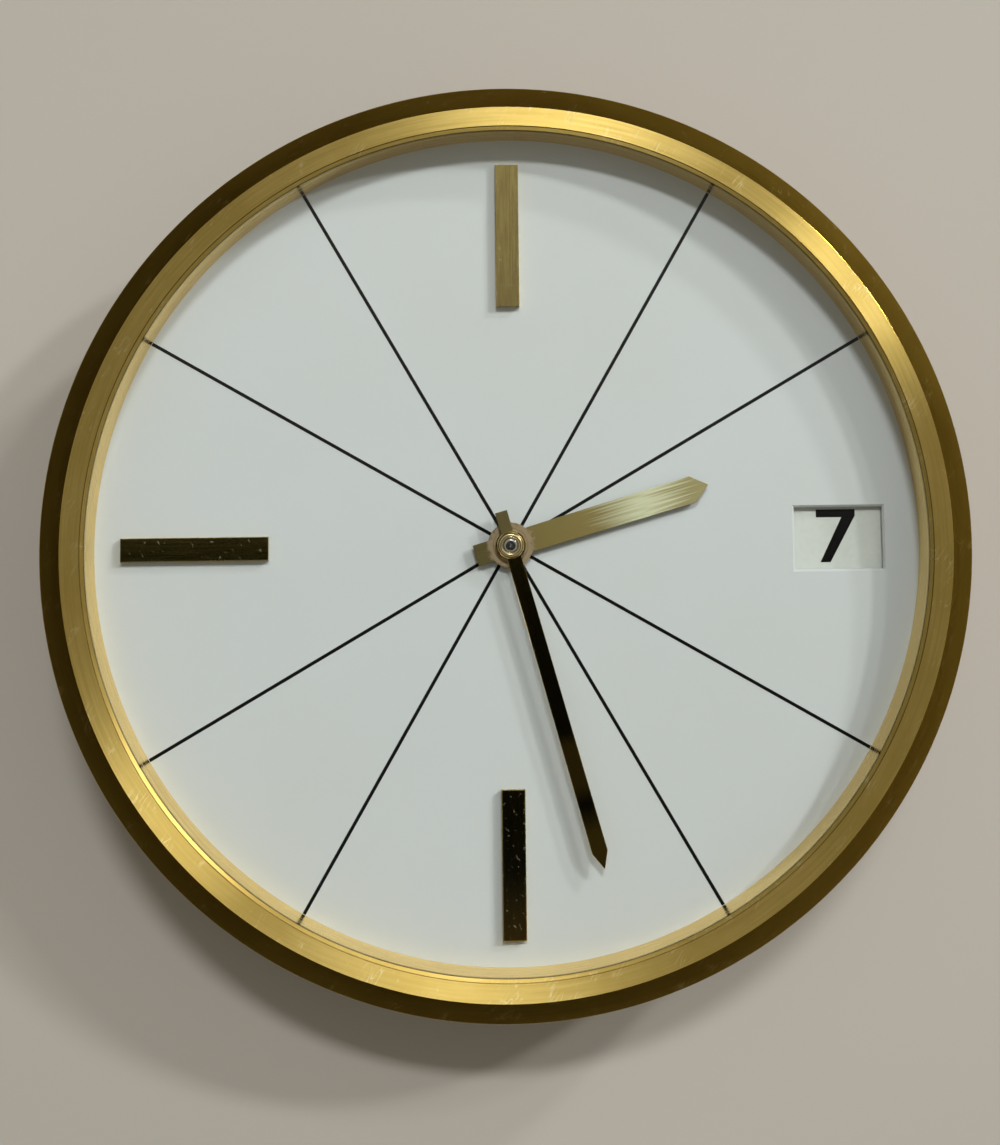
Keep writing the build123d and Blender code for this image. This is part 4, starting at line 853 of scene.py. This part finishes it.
hour_outline = hand_outline(
    length=29.2, width=3.8, root_w=3.5, tip_l=2.3, tail_l=5.1, tail_w=3.0, boss_r=3.2,
)
hour_mesh = flat_mesh(
    "hour_hand_blade", [hour_outline, on_circle(HOUR_HOLE_R, count=64)], Z_HOUR, Z_HOUR + HAND_T,
    HAND_BEVEL, HOUR_ANGLE,
)
flat_piece("hour_hand_blade", hour_mesh, hour_brass, "hour", "hand_brass", "hour_hand")
minute_outline = hand_outline(
    length=46.4, width=2.2, root_w=2.0, tip_l=2.4, tail_l=4.9, tail_w=1.75, boss_r=2.1,
)
minute_mesh = flat_mesh(
    "minute_hand_blade", [minute_outline, on_circle(PIPE_R, count=64)], Z_MINUTE, Z_MINUTE + HAND_T,
    HAND_BEVEL, MINUTE_ANGLE,
)
flat_piece("minute_hand_blade", minute_mesh, minute_brass, "minute", "hand_brass", "minute_hand")


# Screws on the back
def cover_places(low, high):
    reach = high.x - SCREW_HEAD_R * MM
    return [(sx * reach, sy * reach) for sx in (-1, 1) for sy in (-1, 1)]


def bracket_places(low, high):
    ends = (low.x + SCREW_HEAD_R * MM, high.x - SCREW_HEAD_R * MM)
    return [(x, (low.y + high.y) / 2) for x in ends]


for name, node, places in (
    ("cover_screw_heads", "cover_screws", cover_places),
    ("bracket_screw_heads", "bracket_screws", bracket_places),
):
    low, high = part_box(node)
    face = low.z + SCREW_HEAD_H * MM
    base = bpy.data.meshes.new(name + "_places")
    base.from_pydata([(x, y, face) for x, y in places(low, high)], [], [])
    mesh = slotted.made(
        name, base, Head_Radius=SCREW_HEAD_R * MM, Head_Height=SCREW_HEAD_H * MM, Slot_Width=SLOT_W * MM,
        Slot_Depth=SLOT_DEPTH * MM, Shank_Radius=SHANK_R * MM, Shank_Length=high.z - face, Seed=5, Finish=steel,
    )
    piece_from_mesh(name, mesh, "case", "steel", node)


# Date numbers on the ring: bold strokes, each number upright when it stands in the window
def bow(cx, cy, rx, ry, start, end, steps=14):
    turns = [math.radians(start + (end - start) * k / steps) for k in range(steps + 1)]
    return [(cx + rx * math.cos(turn), cy + ry * math.sin(turn)) for turn in turns]


FIGURE_SCALE = 1.045
FIGURE_FOOT = -3.0
FIGURE_SHIFT = -0.27
STROKE = 1.12
FIGURES = {
    "0": [bow(1.9, 3.55, 1.35, 3.0, 0, 360, 28)],
    "1": [[(1.0, 5.6), (2.2, 6.55), (2.2, 0.0)]],
    "2": [bow(1.9, 5.05, 1.4, 1.5, 170, -35) + [(0.5, 0.55), (3.5, 0.55)]],
    "3": [bow(1.8, 5.1, 1.35, 1.42, 150, -80), bow(1.8, 2.1, 1.5, 1.55, 85, -150)],
    "4": [[(2.7, 0.0), (2.7, 6.5), (0.3, 2.1), (3.7, 2.1)]],
    "5": [[(3.3, 6.55), (0.9, 6.55), (0.7, 3.7)] + bow(1.8, 2.3, 1.55, 1.75, 130, -150)],
    "6": [bow(3.4, 2.3, 2.95, 4.3, 100, 180), bow(1.95, 2.1, 1.45, 1.55, 0, 360, 26)],
    "7": [],
    "8": [bow(1.9, 5.15, 1.15, 1.4, 0, 360, 24), bow(1.9, 2.05, 1.45, 1.5, 0, 360, 26)],
    "9": [bow(0.4, 4.8, 2.95, 4.3, -80, 0), bow(1.85, 5.0, 1.45, 1.55, 0, 360, 26)],
}
FIGURE_W = dict.fromkeys(FIGURES, 4.0) | {"1": 3.2, "7": 5.3}
# The 7 is a closed outline, and the other figures are strokes
SEVEN = [(0, 6.1), (3.5, 6.1), (0.47, 0), (1.87, 0), (5.36, 6.3), (5.36, 7.17), (0, 7.17)]


def stroke_strip(points, width):
    """Left and right points of a flat strip along a polyline."""
    left, right = [], []
    closed = math.dist(points[0], points[-1]) < 1e-6
    for i, point in enumerate(points):
        before = points[i - 1] if i else (points[-2] if closed else None)
        after = points[i + 1] if i + 1 < len(points) else (points[1] if closed else None)
        ways = []
        if before is not None:
            ways.append((Vector(point) - Vector(before)).normalized())
        if after is not None:
            ways.append((Vector(after) - Vector(point)).normalized())
        way = sum(ways, Vector((0, 0))).normalized()
        side = Vector((-way.y, way.x)) * (width / 2 / max(0.5, way.dot(ways[0])))
        left.append(Vector(point) + side)
        right.append(Vector(point) - side)
    return left, right


def date_numbers_mesh():
    shape = bmesh.new()
    z = (Z_DATE_TOP + PRINT_LIFT) * MM

    def placed(points, start, turn):
        """The points of a figure that begins at start across its number, with the number turned on the ring."""
        cos, sin = math.cos(turn), math.sin(turn)
        verts = []
        for across, up in points:
            x = WINDOW_R + (start + across) * FIGURE_SCALE + FIGURE_SHIFT
            y = up * FIGURE_SCALE + FIGURE_FOOT
            verts.append(shape.verts.new(((x * cos - y * sin) * MM, (x * sin + y * cos) * MM, z)))
        return verts

    for number in range(1, DATES + 1):
        turn = math.radians((DATE_SHOWN - number) * 360 / DATES)
        start = -sum(FIGURE_W[digit] for digit in str(number)) / 2
        for digit in str(number):
            if digit == "7":
                shape.faces.new(placed(SEVEN, start, turn))
            for path in FIGURES[digit]:
                left, right = (placed(rail, start, turn) for rail in stroke_strip(path, STROKE))
                for i in range(len(left) - 1):
                    shape.faces.new((left[i], right[i], right[i + 1], left[i + 1]))
            start += FIGURE_W[digit]
    return mesh_from_shape("date_numbers", shape, ink)


piece_from_mesh("date_numbers", date_numbers_mesh(), "date", "date_white")

# Rounded bush of the minute hand round the arbor's end
turned_piece("minute_hand_bush", [
    (BUSH_R, PIPE_TOP - BUSH_SEAT), (BUSH_IN_R, PIPE_TOP - BUSH_SEAT), (BUSH_IN_R, PIPE_TOP),
    (BUSH_LIP_R, PIPE_TOP + BUSH_MOUTH),
    (BUSH_LIP_R + BUSH_LAND_IN, BUSH_TOP), (BUSH_LIP_R + BUSH_LAND_OUT, BUSH_TOP),
    (BUSH_R - BUSH_SHOULDER_R, BUSH_TOP - BUSH_SHOULDER), (BUSH_R, PIPE_TOP),
], bush_brass, "minute", "hand_brass", ease=0.12, segments=96)

# Domed end of the arbor, smooth over the part's own
dome_low = ARBOR_TOP - ARBOR_DOME
dome_r = (ARBOR_R**2 + ARBOR_DOME**2) / (2 * ARBOR_DOME)
dome = [(0.0, dome_low), (ARBOR_R + DOME_SKIN, dome_low)]
for k in range(1, DOME_STEPS + 1):
    slope = math.asin(ARBOR_R / dome_r) * (1 - k / DOME_STEPS)
    height = ARBOR_TOP - dome_r + (dome_r + DOME_SKIN) * math.cos(slope)
    dome.append(((dome_r + DOME_SKIN) * math.sin(slope), height))
turned_piece("arbor_end_dome", dome, arbor_steel, "centre", "steel", ease=0.03, segments=96)


# Finishes of the nodes that keep their own shape
NODE_FINISH = {
    movement_brass: [
        "movement_holder", "main_plate", "back_plate", "pillars", "barrel", "barrel_cover",
        "minute_wheel", "day_wheel", "intermediate_wheel", "centre_wheel", "third_wheel", "fourth_wheel",
        "escape_wheel", "balance_wheel", "balance_cock", "dial_feet",
    ],
    cover_brass: ["back_cover"],
    strut_brass: ["strut"],
    fitting_brass: ["strut_bracket", "setting_knob", "key_stem", "key_bow"],
    bush_brass: ["cannon_pinion"],
    pipe_brass: ["hour_wheel"],
    date_white: ["date_ring"],
    steel: [
        "wheel_posts", "holder_screws", "plate_screws", "pillar_screws", "jumper_screw", "click_screw",
        "cock_screw", "barrel_arbor", "ratchet_wheel", "pallet_lever", "setting_arbor",
        "key_pin", "strut_pin", "date_jumper", "click_spring",
    ],
    arbor_steel: ["centre_arbor"],
    spring_steel: ["mainspring", "hairspring"],
    ruby: ["jewels"],
    rubber: ["glass_gasket"],
}
for finish, names in NODE_FINISH.items():
    for name in names:
        for place in frame["nodes"][name].material_slots:
            place.material = finish


# Floor: pale near the clock, and far out painted shade with painted light on the lamps' side, for the polished
# bevel to mirror; clear from below
FLOOR_REACH = 3.0
FLOOR_DROP = 5e-5


def floor_finish():
    pale, paler = (0.46, 0.44, 0.40), (0.48, 0.46, 0.42)
    far_dark, far_light = (0.09, 0.075, 0.055), (0.29, 0.26, 0.20)
    f = Finish("pale_floor", pale, 0.75)
    flat = f.flat()
    away = f.measure("LENGTH", flat)
    lean = f.calc("DIVIDE", f.measure("DOT_PRODUCT", flat, (0.87, 0.5, 0.0)), f.calc("MAXIMUM", away, 1e-4))
    near = f.blended(f.noise(f.place, scale=9.0), pale, paler)
    # Far out: painted shade, lighter towards the lamps as painted light
    far = f.blended(f.spread(lean, -0.35, 0.5), far_dark, far_light)
    f.set("Base Color", f.blended(f.spread(away, 0.25, 0.6), near, far))
    behind = f.add("ShaderNodeNewGeometry").outputs["Backfacing"]
    f.mixed(behind, f.add("ShaderNodeBsdfTransparent"))
    return f.material


floor_corners = [(sx * FLOOR_REACH, sy * FLOOR_REACH) for sx, sy in ((-1, -1), (1, -1), (1, 1), (-1, 1))]
floor_mesh = bpy.data.meshes.new("floor")
floor_mesh.from_pydata([(x, y, -FLOOR_DROP) for x, y in floor_corners], [], [(0, 1, 2, 3)])
floor_mesh.materials.append(floor_finish())
floor = bpy.data.objects.new("floor", floor_mesh)
bpy.context.scene.collection.objects.link(floor)

# Lamps
LAMP_AWAY = 2.4
LAMP_DEPTH = 0.18
LAMP_CONE = math.radians(17)
LAMP_COLOUR = (1.0, 0.985, 0.965)


def lamp(name, clock_way, height, share, width):
    """An area lamp at clock_way degrees clockwise from 12 and height degrees above the table.
    share is the light it gives a level white surface, where 1 shows it as written."""
    a, e = math.radians(clock_way), math.radians(height)
    data = bpy.data.lights.new(name, "AREA")
    data.shape = "ELLIPSE"
    data.size = width
    data.size_y = LAMP_DEPTH
    data.spread = 2 * LAMP_CONE
    data.color = LAMP_COLOUR
    cone_share = 1 - LAMP_CONE / math.tan(LAMP_CONE)
    data.energy = share * math.pi**2 * LAMP_AWAY**2 / math.sin(e) * cone_share
    light = bpy.data.objects.new(name, data)
    way = Vector((math.sin(a) * math.cos(e), math.cos(a) * math.cos(e), math.sin(e)))
    light.location = way * LAMP_AWAY + Vector((0, 0, Z_DIAL * MM))
    light.rotation_mode = "QUATERNION"
    light.rotation_quaternion = way.to_track_quat("Z", "Y")
    bpy.context.scene.collection.objects.link(light)


lamp("lamp_high", clock_way=9, height=58.8, share=0.43, width=0.6)
lamp("lamp_right", clock_way=58, height=35, share=0.18, width=0.14)
lamp("lamp_middle", clock_way=47, height=39, share=0.08, width=0.14)
lamp("lamp_low", clock_way=48, height=24, share=0.11, width=0.14)

# Surroundings: walls that are lighter to the right, and a ceiling that is dark above the clock
world = bpy.data.worlds.new("soft_room")
bpy.context.scene.world = world
world.use_nodes = True
room = Nodes(world.node_tree)


def ramp(value, low, high, to_low, to_high):
    return room.spread(value, low, high, to_low, to_high, interpolation_type="SMOOTHSTEP")


way_x, way_y, way_z = room.split(room.add("ShaderNodeTexCoord").outputs["Generated"])
lean = room.calc("MULTIPLY_ADD", way_y, 0.3, way_x)
side = ramp(lean, -0.3, 0.9, 0.012, 0.12)
walls = room.calc("ADD", side, ramp(way_z, 0.2, 0.7, 0.0, 0.36))
near = ramp(way_y, -0.004, 0.045, 0.005, 0.18)
far = ramp(way_y, 0.045, 0.2, 0.0, 0.17)
foot = ramp(way_y, -0.26, -0.17, 0.05, 0.0)
ceiling = room.calc("ADD", room.calc("ADD", near, far), foot)
upper = ramp(way_z, 0.86, 0.95, 0.0, 1.0)
lit = room.add("ShaderNodeMix", {0: upper, 2: walls, 3: ceiling}, data_type="FLOAT").outputs[0]
below = ramp(way_z, -0.3, -0.1, 0.55, 0.0)
tint = room.blended(ramp(way_z, 0.1, 0.9, 0.0, 1.0), (1.0, 0.74, 0.40), (1.0, 0.95, 0.86))
background = world.node_tree.nodes["Background"]
room.feed(background.inputs["Color"], tint)
room.feed(background.inputs["Strength"], room.calc("ADD", lit, below))

# Camera, fitted to the photograph
camera_data = bpy.data.cameras.new("camera")
camera_data.sensor_width = 36.0
camera_data.lens = 47.231
camera_data.shift_x = -0.04226
camera_data.shift_y = -0.12545
camera_data.clip_start = 0.01
camera = bpy.data.objects.new("camera", camera_data)
camera.location = (-0.002174, -0.00008, 0.232676)
camera.rotation_euler = [math.radians(turn) for turn in (4.462, -2.0244, -0.7786)]
bpy.context.scene.collection.objects.link(camera)
bpy.context.scene.camera = camera
bpy.context.scene.view_settings.view_transform = "Standard"
